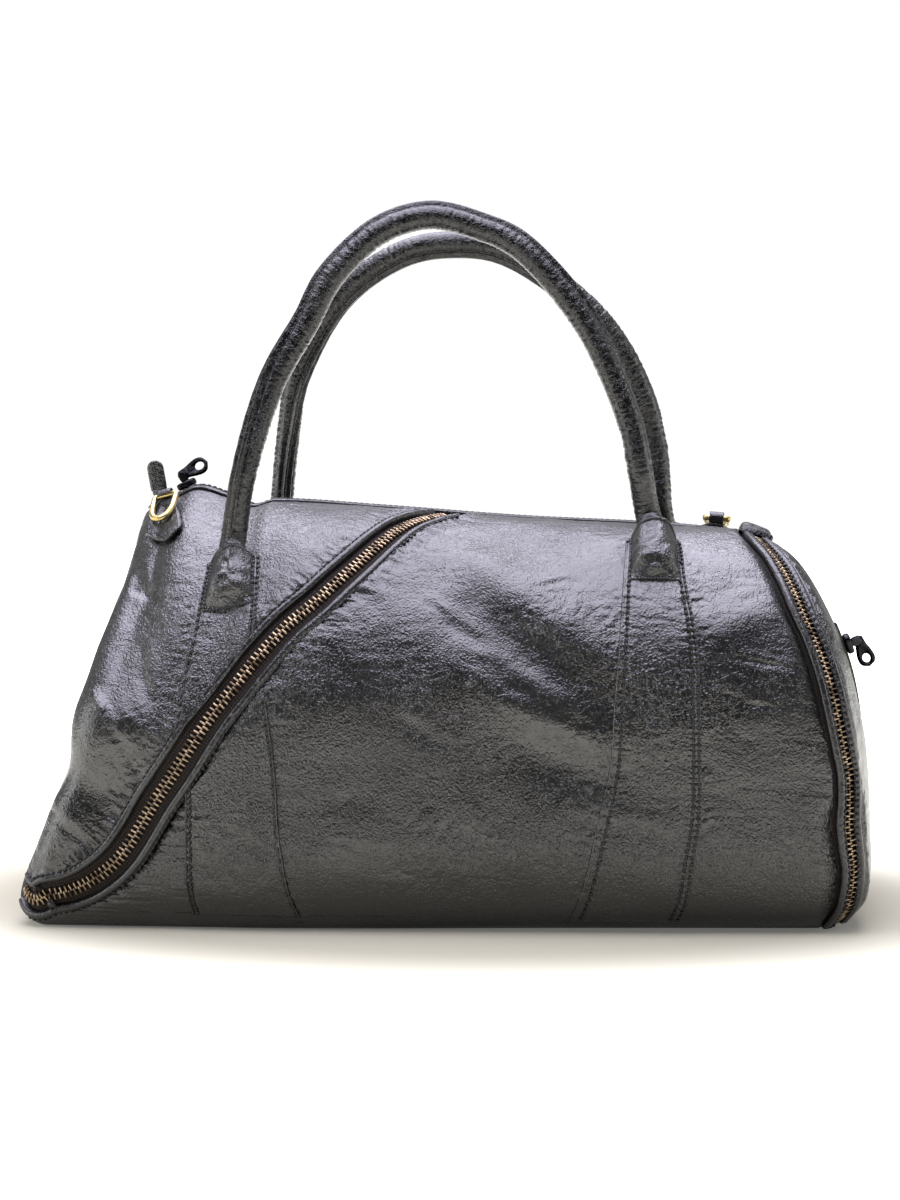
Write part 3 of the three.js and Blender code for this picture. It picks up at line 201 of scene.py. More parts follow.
@dataclass
class Skin:
    """The bag's skin as a surface of two parameters.

    s runs along it: -1 to 1 is the body, 1 to 2 a rounded corner and 2 to 3 an end panel from its
    rim to its middle, the left end negative. v runs round it: 0 at the ridge, 1 at the front
    bottom edge, 2 below the middle, 3 at the back bottom edge and 4 at the ridge again.
    """

    ridge_height: float = 234
    half_length: float = 218
    half_depth: float = 118
    corner_radius: float = 20
    corner_turn: float = math.radians(65)
    end_bulge: float = 11
    edge_softness: float = 3
    widest_at: float = 0.42
    bottom_power: float = 4.6
    fold_reach: float = 0.25
    step: float = 0.004
    ridge: Table = Table(
        (0, 0.04, 0.09, 0.14, 0.18, 0.37, 0.62, 0.87, 1),
        (1.034, 1.055, 1.034, 1.004, 1.017, 1, 0.974, 0.957, 0.94),
    )
    left_profile: Table = Table(
        (0, 0.08, 0.2, 0.35, 0.5, 0.65, 0.8, 0.92, 1),
        (-1, -0.991, -0.936, -0.872, -0.835, -0.807, -0.771, -0.757, -0.748),
    )
    right_profile: Table = Table(
        (0, 0.08, 0.2, 0.35, 0.5, 0.65, 0.8, 0.92, 1),
        (0.982, 1.009, 1.005, 0.991, 0.972, 0.945, 0.899, 0.844, 0.771),
    )
    depth: Table = Table((0, 0.15, 0.3, 0.6, 1), (1, 1, 1, 0.966, 0.881))
    sink: Table = Table((0, 0.15, 0.3, 0.6, 1), (0.145, 0.137, 0.128, 0.068, 0.043))
    crown: Table = Table((0, 0.15, 0.3, 0.6, 1), (1.4, 1.75, 2.05, 2.2, 2.3))
    folds: list[tuple[Fold, Array, Array, Array, Array]] = field(default_factory=list)

    def __post_init__(self) -> None:
        """Sets each fold's middle and its three directions on the plain skin."""
        for fold in FOLDS:
            centre = self.plain(fold.s, fold.v)
            out = self.plain_normal(fold.s, fold.v)
            level = unit(np.cross((0, 0, 1), out)) * (-1 if fold.v > 2 else 1)
            angle = -math.radians(fold.turn)
            along = level * math.cos(angle) + np.cross(out, level) * math.sin(angle)
            self.folds.append((fold, centre, out, along, np.cross(out, along)))

    def section(self, u: Array, v: Array) -> tuple[Array, ...]:
        """Cross section: two superellipse quarters about the widest height, on a flat base.

        Args:
            u: Share along the bag.
            v: Place round it.

        Returns:
            y, z, the section's height, its half depth and the height of its widest place.
        """
        height = self.ridge_height * self.ridge.smooth(u)
        half = self.half_depth * self.depth.smooth(u)
        centre = self.widest_at * height
        low = centre + height * self.sink.smooth(u)
        power = self.bottom_power
        edge = half * (1 - (centre / low) ** power) ** (1 / power)
        spot = np.mod(v, 4)
        back = spot > 2
        w = np.where(back, 4 - spot, spot)
        angle = np.minimum(w, 1) * (np.pi - np.arctan2(edge, centre))
        c, q = np.cos(angle), np.sin(angle)
        power = np.where(c > 0, self.crown.smooth(u), power)
        reach = np.where(c > 0, height - centre, low)
        rho = (np.abs(q / half) ** power + np.abs(c / reach) ** power) ** (-1 / power)
        soft = self.edge_softness * np.exp(-(((w - 1) / 0.045) ** 2))
        y = np.where(w > 1, edge * (2 - w), rho * q) - soft
        z = np.where(w > 1, 0, centre + rho * c) + np.where(w > 1.15, 0, soft * 0.6)
        return np.where(back, y, -y), z, height, half, centre

    def plain(self, s: Array | float, v: Array | float) -> Array:
        """The skin without folds: the section, drawn in at the corners and ends.

        Args:
            s: Places along the skin.
            v: Places round it.

        Returns:
            (..., 3) points in millimetres.
        """
        s, v = np.broadcast_arrays(np.asarray(s, float), np.asarray(v, float))
        far = np.abs(s)
        u = (np.clip(s, -1, 1) + 1) / 2
        y, z, height, half, centre = self.section(u, v)
        turn = np.clip(far - 1, 0, 1) * self.corner_turn
        inward = np.clip(far - 2, 0, 1)
        inset = self.corner_radius * (1 - np.cos(turn))
        y = y * (1 - inset / half) * (1 - inward)
        rim = inset + z * (1 - 2 * inset / height)
        z = centre + (rim - centre) * (1 - inward)
        share = np.clip(z / height, 0, 1)
        left = self.half_length * self.left_profile.smooth(share)
        right = self.half_length * self.right_profile.smooth(share)
        bulge = self.end_bulge * (1 - (1 - inward) ** 2)
        x = left + (right - left) * u + np.sign(s) * (self.corner_radius * np.sin(turn) + bulge)
        return np.stack([x, y, z], axis=-1)

    def _normal(self, surface: Callable[[Array, Array], Array], s: Array, v: Array) -> Array:
        """Outward normal from the differences along the two parameters."""
        limit = 3 - 2 * self.step
        s = np.clip(s, -limit, limit)
        along = surface(s + self.step, v) - surface(s - self.step, v)
        around = surface(s, v + self.step) - surface(s, v - self.step)
        return unit(np.cross(around, along))

    def plain_normal(self, s: Array | float, v: Array | float) -> Array:
        """Outward normal of the skin without folds."""
        return self._normal(self.plain, np.asarray(s, float), np.asarray(v, float))

    def normal(self, s: Array | float, v: Array | float) -> Array:
        """Outward normal of the folded skin."""
        return self._normal(self.folded, np.asarray(s, float), np.asarray(v, float))

    def folded(self, s: Array, v: Array) -> Array:
        """The skin with its folds: each is a bell along its own three directions.

        Args:
            s: Places along the skin.
            v: Places round it.

        Returns:
            (..., 3) points in millimetres.
        """
        here = self.plain(s, v)
        lift = np.zeros(here.shape[:-1])
        for fold, centre, out, along, across in self.folds:
            offset = (here - centre) / self.ridge_height
            a = offset @ along / fold.length
            b = offset @ out / self.fold_reach
            c = offset @ across / fold.width
            lift += fold.depth * self.ridge_height * np.exp(-a * a - b * b - c * c)
        lift *= np.clip((np.abs(np.mod(v, 4) - 2) - 0.98) / 0.12, 0, 1)
        return here + self.plain_normal(s, v) * lift[..., None]

    def laid(self, s: Array, v: Array) -> tuple[Array, Array]:
        """Points and outward normals of the folded skin."""
        return self.folded(s, v), self.normal(s, v)

    def place(self, s: Array, v: Array, lift: Array | float = 0) -> Array:
        """Points on the folded skin, lifted along its normal."""
        return self.folded(s, v) + self.normal(s, v) * np.asarray(lift)[..., None]

    def rates(self, s: Array, v: Array) -> tuple[Array, Array]:
        """Millimetre vectors for one unit of s and of v."""
        two = 2 * self.step
        along = (self.plain(s + self.step, v) - self.plain(s - self.step, v)) / two
        around = (self.plain(s, v + self.step) - self.plain(s, v - self.step)) / two
        return along, around

    def shares(self, s: Array, v: Array, vector: Array) -> tuple[Array, Array]:
        """The steps of s and v that come nearest to a vector, from the two rates' products."""
        per_s, per_v = self.rates(s, v)
        pairs = ((per_s, per_s), (per_s, per_v), (per_v, per_v))
        ss, sv, vv = (np.sum(a * b, axis=-1) for a, b in pairs)
        ds, dv = np.sum(vector * per_s, axis=-1), np.sum(vector * per_v, axis=-1)
        det = ss * vv - sv * sv
        return (ds * vv - dv * sv) / det, (dv * ss - ds * sv) / det

    def slide(
        self, s: Array, v: Array, way: Callable[[Array, Array], Array], parts: int = 5
    ) -> tuple[Array, Array]:
        """Places slid over the skin in short steps, each settled back on it.

        Args:
            s: Places along the skin.
            v: Places round it.
            way: Gives the whole way's vector at a place, in millimetres.
            parts: Number of steps.

        Returns:
            The new s and v.
        """
        for _ in range(parts):
            target = self.plain(s, v) + way(s, v) / parts
            for _ in range(4):
                ds, dv = self.shares(s, v, target - self.plain(s, v))
                s, v = s + ds, v + dv
        return s, v

    def moved(self, s: Array, v: Array, along: Array | float, around: Array | float) -> tuple:
        """Places moved by millimetres along s and round v."""
        far = [np.asarray(reach, float)[..., None] for reach in (along, around)]

        def way(s: Array, v: Array) -> Array:
            """The two rates at their wanted lengths."""
            per_s, per_v = self.rates(s, v)
            return unit(per_s) * far[0] + unit(per_v) * far[1]

        return self.slide(s, v, way)


@dataclass
class Line:
    """An evenly spaced line drawn on the skin."""

    skin: Skin
    s: Array
    v: Array

    @staticmethod
    def through(skin: Skin, s: Sequence[float], v: Sequence[float], spacing: float = 1.0) -> "Line":
        """A smooth line through places, spaced evenly by its real length.

        Args:
            skin: The surface that it lies on.
            s: Places along the skin.
            v: Places round it.
            spacing: Millimetres between points.

        Returns:
            The line.
        """
        s, v = np.asarray(s, float), np.asarray(v, float)
        for _ in range(2):
            points = skin.plain(s, v)
            run = length_along(points)
            count = max(int(run[-1] / spacing), 4)
            fine = np.linspace(0, run[-1], count + 1)
            s, v = (Table(tuple(run), tuple(axis)).smooth(fine) for axis in (s, v))
        return Line(skin, s, v)

    @property
    def points(self) -> Array:
        """The line's points on the folded skin."""
        return self.skin.folded(self.s, self.v)

    @property
    def run(self) -> Array:
        """Length from the start to each point."""
        return length_along(self.points)

    def shifted(self, distance: float) -> tuple[Array, Array]:
        """Places beside the line.

        Args:
            distance: Millimetres to the left, seen from outside along the line.

        Returns:
            s and v of the shifted places.
        """
        along = unit(np.gradient(self.skin.plain(self.s, self.v), axis=0))

        def way(s: Array, v: Array) -> Array:
            """Square to the line and to the skin's normal."""
            return np.cross(along, self.skin.plain_normal(s, v)) * distance

        return self.skin.slide(self.s, self.v, way)


def nearest(points: Array, line: Array, reach: float) -> tuple[Array, Array]:
    """Distance to a line and the number of its nearest sample, for points within reach.

    Args:
        points: (..., 3) places.
        line: (n, 3) samples.
        reach: Points further away are left out and get an infinite distance.

    Returns:
        Distances and sample numbers.
    """
    flat = points.reshape(-1, 3)
    distance, index = np.full(len(flat), np.inf), np.zeros(len(flat), int)
    inside = ((flat > line.min(axis=0) - reach) & (flat < line.max(axis=0) + reach)).all(axis=1)
    near = np.flatnonzero(inside)
    for part in np.array_split(near, len(near) // 4096 + 1):
        gap = np.linalg.norm(flat[part, None] - line[None], axis=2)
        index[part], distance[part] = gap.argmin(axis=1), gap.min(axis=1)
    return distance.reshape(points.shape[:-1]), index.reshape(points.shape[:-1])


# ---------------------------------------------------------------- meshes


def mesh_piece(name: str, points: Array, faces: Array, uv: Array | None = None) -> bpy.types.Object:
    """A smooth mesh object whose place is in its mesh.

    Args:
        name: The piece's name.
        points: (n, 3) millimetres.
        faces: (m, 3 or 4) corner numbers, seen anticlockwise from outside.
        uv: (n, 2) texture places, in metres.

    Returns:
        The object, linked to the scene.
    """
    mesh = bpy.data.meshes.new(name)
    corners = faces.shape[1]
    mesh.vertices.add(len(points))
    mesh.vertices.foreach_set("co", (points * MM).astype(np.float32).ravel())
    mesh.loops.add(faces.size)
    mesh.loops.foreach_set("vertex_index", faces.astype(np.int32).ravel())
    mesh.polygons.add(len(faces))
    mesh.polygons.foreach_set("loop_start", np.arange(0, faces.size, corners, dtype=np.int32))
    mesh.update(calc_edges=True)
    mesh.validate()
    if uv is not None:
        layer = mesh.uv_layers.new(name="UVMap")
        layer.data.foreach_set("uv", uv[faces.ravel()].astype(np.float32).ravel())
    mesh.polygons.foreach_set("use_smooth", np.ones(len(mesh.polygons), dtype=bool))
    piece = bpy.data.objects.new(name, mesh)
    bpy.context.scene.collection.objects.link(piece)
    return piece


def grid_faces(rows: int, cols: int, wrap_rows: bool = False, wrap_cols: bool = False) -> Array:
    """Four corner numbers of each cell of a grid, row by row."""
    i = np.arange(rows if wrap_rows else rows - 1)
    j = np.arange(cols if wrap_cols else cols - 1)
    i, j = (a.ravel() for a in np.meshgrid(i, j, indexing="ij"))
    below, right = (i + 1) % rows, (j + 1) % cols
    here, under = i * cols, below * cols
    return np.stack([here + j, under + j, under + right, here + right], axis=1)


def halved(quads: Array) -> Array:
    """Two triangles for each cell of four corners."""
    return np.concatenate([quads[:, [0, 1, 2]], quads[:, [0, 2, 3]]])


def sewn_axes(points: Array, out: Array, turned: float = 0.0) -> Array:
    """Directions of threads sewn along a row of points: along, across and out.

    Args:
        points: (n, 3) places.
        out: (n, 3) outward normals.
        turned: Slope of each thread to the row.

    Returns:
        (n, 3, 3) rows.
    """
    along = unit(np.gradient(points, axis=0))
    if turned:
        along = unit(along + turned * np.cross(out, along))
    return np.stack([along, unit(np.cross(out, along)), out], axis=1)


def outward_faces(points: Array, faces: Array, out: Array) -> Array:
    """Faces turned so that most of them agree with an outward vector at each point."""
    a, b, c = (points[faces[:, k]] for k in (0, 1, 2))
    agree = np.sum(np.cross(b - a, c - a) * out[faces[:, 0]])
    return faces if agree > 0 else faces[:, ::-1]


def sheet_piece(name: str, points: Array, out: Array, uv: Array | None = None) -> bpy.types.Object:
    """A sheet over a grid of points, facing along the outward vectors."""
    rows, cols = points.shape[:2]
    flat, away = points.reshape(-1, 3), out.reshape(-1, 3)
    faces = outward_faces(flat, grid_faces(rows, cols), away)
    return mesh_piece(name, flat, faces, None if uv is None else uv.reshape(-1, 2))


def ribbon_piece(name: str, line: "Line", sides: Array, lift: Array) -> bpy.types.Object:
    """A ribbon along a line of the skin, with its length and width as texture places.

    Args:
        name: The piece's name.
        line: Its centre line.
        sides: Millimetres beside the line, for each column.
        lift: Millimetres above the skin, for each column.

    Returns:
        The object.
    """
    places = [line.shifted(distance) for distance in sides]
    s, v = (np.stack([place[k] for place in places], axis=1) for k in (0, 1))
    points, out = line.skin.laid(s, v)
    run, width = np.broadcast_arrays(line.run[:, None], sides[None])
    uv = np.stack([run, width], axis=-1) * MM
    return sheet_piece(name, points + out * lift[None, :, None], out, uv)


def thicken(piece: bpy.types.Object, wall: float, way: int) -> None:
    """Gives a sheet a wall in millimetres, inwards (-1) or outwards (1)."""
    modifier = piece.modifiers.new("wall", "SOLIDIFY")
    modifier.thickness, modifier.offset = wall * MM, way


def tube_piece(name: str, rings: Array, closed: bool, uv: Array | None = None) -> bpy.types.Object:
    """A closed tube through rings of points, with domed caps unless it joins itself.

    Args:
        name: The piece's name.
        rings: (stations, around, 3) points.
        closed: The last ring joins the first.
        uv: (stations, around, 2) texture places.

    Returns:
        The object.
    """
    stations, around = rings.shape[:2]
    flat = rings.reshape(-1, 3)
    centre = rings.mean(axis=1, keepdims=True)
    out = (rings - centre).reshape(-1, 3)
    faces = outward_faces(flat, grid_faces(stations, around, closed, True), out)
    if closed:
        return mesh_piece(name, flat, faces, None if uv is None else uv.reshape(-1, 2))
    tips = centre[[0, -1], 0]
    flat = np.concatenate([flat, tips])
    k = np.arange(around)
    after = (k + 1) % around
    first = np.stack([np.full(around, len(flat) - 2), k, after, after], axis=1)
    last = np.stack([np.full(around, len(flat) - 1), k, after, after], axis=1)
    last[:, 1:] += (stations - 1) * around
    away = np.concatenate([out, centre[0] - centre[1], centre[-1] - centre[-2]])
    caps = [outward_faces(flat, cap[:, :3], np.broadcast_to(away[row], flat.shape)) for cap, row in
            ((first, -2), (last, -1))]
    triangles = np.concatenate([halved(faces), *caps])
    if uv is not None:
        uv = np.concatenate([uv.reshape(-1, 2), uv[[0, -1]].mean(axis=1)])
    return mesh_piece(name, flat, triangles, uv)


def round_rings(
    centre: Array, radius: Array | float, one: Array, other: Array, count: int
) -> Array:
    """Circles about points: a radius times the cosine of one direction and the sine of another.

    Args:
        centre: (n, 3) middles.
        radius: Millimetres, for all or for each of them.
        one: (n, 3) first directions.
        other: (n, 3) second directions.
        count: Points of a circle.

    Returns:
        (n, count, 3) points.
    """
    angle = circle(count)[None, :, None]
    way = np.cos(angle) * one[:, None] + np.sin(angle) * other[:, None]
    return centre[:, None] + radius * way


def copies_piece(name: str, shape: tuple[Array, Array], at: Array, axes: Array) -> bpy.types.Object:
    """One mesh of many copies of a small shape.

    Args:
        name: The piece's name.
        shape: The small shape's points and faces.
        at: (n, 3) places.
        axes: (n, 3, 3) rows that the shape's x, y and z run along.

    Returns:
        The object.
    """
    points, faces = shape
    placed = at[:, None] + np.einsum("pk,nkj->npj", points, axes)
    numbers = faces[None] + (np.arange(len(at)) * len(points))[:, None, None]
    return mesh_piece(name, placed.reshape(-1, 3), numbers.reshape(-1, faces.shape[1]))


def capsule(
    length: float, radius: float, stations: int = 6, around: int = 6
) -> tuple[Array, Array]:
    """A small closed thread along x: its radius follows an arch to the power of a half."""
    t = np.linspace(-1, 1, stations + 2)
    wide = radius * np.sqrt(np.maximum(1 - np.abs(t) ** 3, 0))
    wide[[0, -1]] = radius * 0.02
    angle = circle(around)
    x = np.repeat(t * length / 2, around)
    y, z = (np.outer(wide, turn(angle)).ravel() for turn in (np.cos, np.sin))
    points = np.stack([x, y, z], axis=1)
    faces = grid_faces(stations + 2, around, False, True)
    return points, outward_faces(points, faces, points * (0, 1, 1))


# ---------------------------------------------------------------- materials


def linear(code: str) -> tuple[float, float, float, float]:
    """A hex colour as linear red, green, blue and alpha."""
    parts = [int(code[i : i + 2], 16) / 255 for i in (1, 3, 5)]
    return (*(p / 12.92 if p <= 0.04045 else ((p + 0.055) / 1.055) ** 2.4 for p in parts), 1.0)


def per(millimetres: float) -> float:
    """Repeats in a metre of a pattern of that size."""
    return 1 / (millimetres * MM)


@dataclass
class Nodes:
    """The nodes of a material or of the world, which start from none."""

    owner: bpy.types.Material | bpy.types.World

    def __post_init__(self) -> None:
        """Clears what a new owner brings."""
        self.owner.use_nodes = True
        self.owner.node_tree.nodes.clear()

    def add(self, kind: str, inputs: dict | None = None, **settings) -> "bpy.types.NodeOutputs":
        """Adds a node, sets it and links it.

        Args:
            kind: The node's type, without the words that all types start with.
            inputs: Socket name or number to a value or to another node's output.
            settings: The node's own properties.

        Returns:
            The node's outputs.
        """
        tree = self.owner.node_tree
        node = tree.nodes.new(f"ShaderNode{kind}")
        for name, value in settings.items():
            setattr(node, name, value)
        for socket, value in (inputs or {}).items():
            if isinstance(value, bpy.types.NodeSocket):
                tree.links.new(value, node.inputs[socket])
            else:
                node.inputs[socket].default_value = value
        return node.outputs


@dataclass(frozen=True)
class Finish:
    """A named finish that ends in one shader."""

    name: str
    base: str

    def material(self) -> bpy.types.Material:
        """Builds the finish's nodes round its shader.

        Returns:
            The material.
        """
        net = Nodes(bpy.data.materials.new(self.name))
        shader = net.add("BsdfPrincipled", self.sockets(net))
        net.add("OutputMaterial", {"Surface": shader[0]})
        return net.owner

    def sockets(self, net: Nodes) -> dict:
        """The shader's inputs: one plain colour, unless a finish says more."""
        return {"Base Color": linear(self.base)}


@dataclass(frozen=True)
class Leather(Finish):
    """Aniline calf leather, drum-dyed and tumbled: pebbled cells, fine folds and a soft sheen."""

    worn: str
    # deep: colour of the grain's grooves and the fine creases, a painted shade
    deep: str
    roughness: float
    cell: float  # millimetres across one pebble of the grain
    cell_height: float
    fold: float  # millimetres between fine folds
    fold_height: float
    specular: float = 0.5
    coat: float = 0.0
    sway: tuple[float, float] = (6, 2.2)  # millimetres between and across the grain's bends
    zone: float = 70  # millimetres between strongly and faintly grained places
    patch: float = 45  # millimetres between rubbed places

    def sockets(self, net: Nodes) -> dict:
        """Builds the nodes.

        Two grids of cells give the grain and creased noise the fine folds. Both paint shade into
        the
        colour: grooves and creases take the deep colour, and noise patches mix in the paler worn
        colour.

        Args:
            net: The material's nodes.

        Returns:
            The shader's inputs.
        """
        place = net.add("TexCoord")["Object"]
        sway = net.add("TexNoise", {"Vector": place, "Scale": per(self.sway[0]), "Detail": 2.0})
        centred = net.add(
            "VectorMath", {0: sway["Color"], 1: (0.5, 0.5, 0.5)}, operation="SUBTRACT"
        )
        scaled = net.add(
            "VectorMath", {0: centred[0], "Scale": self.sway[1] * MM}, operation="SCALE"
        )
        bent = net.add("VectorMath", {0: place, 1: scaled[0]})[0]
        heights = []
        for size, sharp in ((self.cell, 0.46), (self.cell * 0.5, 0.42)):
            cells = net.add(
                "TexVoronoi", {"Vector": bent, "Scale": per(size)}, feature="DISTANCE_TO_EDGE"
            )
            top = net.add(
                "MapRange", {"Value": cells["Distance"], "From Max": sharp},
                interpolation_type="SMOOTHSTEP"
            )
            heights.append(top["Result"])
        grain = net.add("Mix", {"Factor": 0.35, "A": heights[0], "B": heights[1]})["Result"]
        creases = []
        for size, detail, bend in ((self.fold, 3.0, 0.9), (self.fold * 2.7, 4.0, 0.6)):
            wave = net.add(
                "TexNoise",
                {
                    "Vector": bent, "Scale": per(size), "Detail": detail, "Roughness": 0.55,
                    "Distortion": bend
                }
            )
            middle = net.add("Math", {0: wave["Fac"], 1: 0.5}, operation="SUBTRACT")
            sharp = net.add("Math", {0: middle[0]}, operation="ABSOLUTE")
            line = net.add(
                "MapRange", {"Value": sharp[0], "From Max": 0.075}, interpolation_type="SMOOTHSTEP"
            )
            creases.append(line["Result"])
        folds = net.add("Mix", {"Factor": 0.4, "A": creases[0], "B": creases[1]})["Result"]
        zones = net.add(
            "TexNoise", {"Vector": place, "Scale": per(self.zone), "Detail": 3.0}
        )["Fac"]
        zone = net.add(
            "MapRange", {"Value": zones, "From Min": 0.38, "From Max": 0.62, "To Min": 0.6}
        )["Result"]
        grain_bump = net.add(
            "Bump", {"Height": grain, "Strength": zone, "Distance": self.cell_height * MM}
        )
        bump = net.add(
            "Bump",
            {
                "Height": folds, "Strength": zone, "Distance": self.fold_height * MM,
                "Normal": grain_bump[0]
            }
        )
        patch = net.add(
            "TexNoise", {"Vector": place, "Scale": per(self.patch), "Detail": 5.0, "Roughness": 0.6}
        )["Fac"]
        wear = net.add("MapRange", {"Value": patch, "From Min": 0.42, "From Max": 0.68})["Result"]
        rubbed = net.add(
            "Mix", {"Factor": wear, "A": linear(self.base), "B": linear(self.worn)},
            data_type="RGBA"
        )
        # Painted shade: grooves and creases darken to the deep colour.
        groove_shade = net.add("Math", {0: grain, 1: folds}, operation="MULTIPLY")[0]
        colour = net.add(
            "Mix", {"Factor": groove_shade, "A": linear(self.deep), "B": rubbed["Result"]},
            data_type="RGBA"
        )
        gloss = net.add(
            "MapRange",
            {
                "Value": patch, "From Min": 0.3, "From Max": 0.7, "To Min": self.roughness + 0.06,
                "To Max": self.roughness - 0.05
            }
        )
        return {
            "Base Color": colour["Result"], "Roughness": gloss["Result"], "Normal": bump[0],
            "Specular IOR Level": self.specular, "Coat Weight": self.coat, "Coat Roughness": 0.28,
        }


@dataclass(frozen=True)
class Metal(Finish):
    """Cast or drawn metal: a plated surface with faint dulling in darker patches."""

    dull: str
    roughness: float
    patch: float  # millimetres across one dull patch
    metallic: float = 1.0

    def sockets(self, net: Nodes) -> dict:
        """Mixes bright and dull plating by a fine noise, and roughens the dull part.

        Args:
            net: The material's nodes.

        Returns:
            The shader's inputs.
        """
        place = net.add("TexCoord")["Object"]
        spots = net.add(
            "TexNoise", {"Vector": place, "Scale": per(self.patch), "Detail": 4.0}
        )["Fac"]
        share = net.add("MapRange", {"Value": spots, "From Min": 0.4, "From Max": 0.65})["Result"]
        colour = net.add(
            "Mix", {"Factor": share, "A": linear(self.base), "B": linear(self.dull)},
            data_type="RGBA"
        )
        rough = net.add(
            "MapRange", {"Value": share, "To Min": self.roughness, "To Max": self.roughness + 0.14}
        )
        bump = net.add("Bump", {"Height": spots, "Strength": 0.2, "Distance": 0.03 * MM})
        return {
            "Base Color": colour["Result"], "Roughness": rough["Result"], "Normal": bump[0],
            "Metallic": self.metallic,
        }


@dataclass(frozen=True)
class Webbing(Finish):
    """Woven polyester zip tape: a herringbone of threads along and across the tape."""

    name: str = "woven_polyester_tape"
    base: str = "#3a322e"
    # shade: colour of the gaps between threads, a painted shade
    shade: str = "#15110f"
    thread: float = 0.9  # real threads are 0.4 mm, drawn coarser so that they show

    def sockets(self, net: Nodes) -> dict:
        """Two wave bands along the tape's own UV, crossed, raise the threads and paint shade in the
        gaps between them.

        Args:
            net: The material's nodes.

        Returns:
            The shader's inputs.
        """
        place = net.add("TexCoord")["UV"]
        bands = [
            net.add(
                "TexWave",
                {
                    "Vector": place, "Scale": 0.16 * per(self.thread), "Distortion": 0.6,
                    "Detail": 1.0
                },
                bands_direction=way
            )["Fac"]
            for way in ("X", "Y")
        ]
        weave = net.add("Math", {0: bands[0], 1: bands[1]}, operation="MULTIPLY")[0]
        # Painted shade: the gaps between threads darken to the shade colour.
        colour = net.add(
            "Mix", {"Factor": weave, "A": linear(self.shade), "B": linear(self.base)},
            data_type="RGBA"
        )
        bump = net.add("Bump", {"Height": weave, "Strength": 0.6, "Distance": 0.2 * MM})
        return {
            "Base Color": colour["Result"], "Roughness": 0.85, "Normal": bump[0],
            "Specular IOR Level": 0.25,
        }


@dataclass(frozen=True)
class Thread(Finish):
    """Bonded nylon sewing thread: black, waxed, with the twist of its plies."""

    name: str = "bonded_nylon_thread"
    base: str = "#050506"
    ply: float = 0.7  # millimetres between plies

    def sockets(self, net: Nodes) -> dict:
        """A wave along the thread raises the plies.

        Args:
            net: The material's nodes.

        Returns:
            The shader's inputs.
        """
        place = net.add("TexCoord")["Object"]
        twist = net.add(
            "TexWave", {"Vector": place, "Scale": 0.16 * per(self.ply)}, bands_direction="DIAGONAL"
        )["Fac"]
        bump = net.add("Bump", {"Height": twist, "Strength": 0.5, "Distance": 0.1 * MM})
        return {"Base Color": linear(self.base), "Roughness": 0.5, "Normal": bump[0]}


# The third colour of each leather is deep, the painted shade of its grooves and creases.
CALF = Leather(
    "tumbled_calf_leather", "#151512", "#22211e", "#020202", 0.31, 2.3, 0.3, 9.0, 0.22, 0.8
)
BINDING_CALF = Leather(
    "rolled_calf_binding", "#17171a", "#222125", "#0c0c0d", 0.33, 2.0, 0.07, 7.0, 0.25, 0.6
)
STRAP_CALF = Leather(
    "glazed_strap_leather", "#060607", "#0e0e10", "#030303", 0.27, 1.9, 0.16, 4.5, 0.25, 0.5, 0.1
)
TEETH_BRASS = Metal("antiqued_brass_teeth", "#a8957c", "#4c3f34", 0.34, 5.0)
RING_BRASS = Metal("pale_brass_ring", "#cdbd86", "#a8945e", 0.3, 9.0)
BLACK_NICKEL = Metal("black_nickel", "#2b2b2e", "#1b1b1d", 0.3, 4.0)


@dataclass
class Workshop:
    """The skin, the finishes and the step that hands a piece to the frame."""

    skin: Skin = field(default_factory=Skin)

    def __post_init__(self) -> None:
        """Mixes every finish once."""
        self.calf = CALF.material()
        self.strap = STRAP_CALF.material()
        self.rolled = BINDING_CALF.material()
        self.teeth = TEETH_BRASS.material()
        self.ring = RING_BRASS.material()
        self.nickel = BLACK_NICKEL.material()
        self.tape = Webbing().material()
        self.thread = Thread().material()

    def hand_over(
        self, piece: bpy.types.Object, material: bpy.types.Material, slot: Slot,
        nodes: Iterable[str] = (), body: str = "bag"
    ) -> bpy.types.Object:
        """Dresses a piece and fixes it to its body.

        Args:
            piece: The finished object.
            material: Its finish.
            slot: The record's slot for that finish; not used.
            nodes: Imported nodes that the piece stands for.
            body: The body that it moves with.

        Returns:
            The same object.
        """
        piece.data.materials.append(material)
        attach(piece, body)
        if nodes:
            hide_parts(*nodes)
        LOG.info("%s: %d faces", piece.name, len(piece.data.polygons))
        return piece


@dataclass
class Assembly:
    """A group of pieces that one workshop makes on its skin."""

    shop: Workshop

    @property
    def skin(self) -> Skin:
        """The workshop's skin."""
        return self.shop.skin


# ---------------------------------------------------------------- the leather body


@dataclass(frozen=True)
class Rail:
    """One long edge of a handle band."""

    v: tuple[float, ...]
    s: tuple[float, ...]

    def at(self, v: Array) -> Array:
        """s of the edge at v."""
        return Table(self.v, self.s).smooth(v)


BAND_FOOT = 0.978


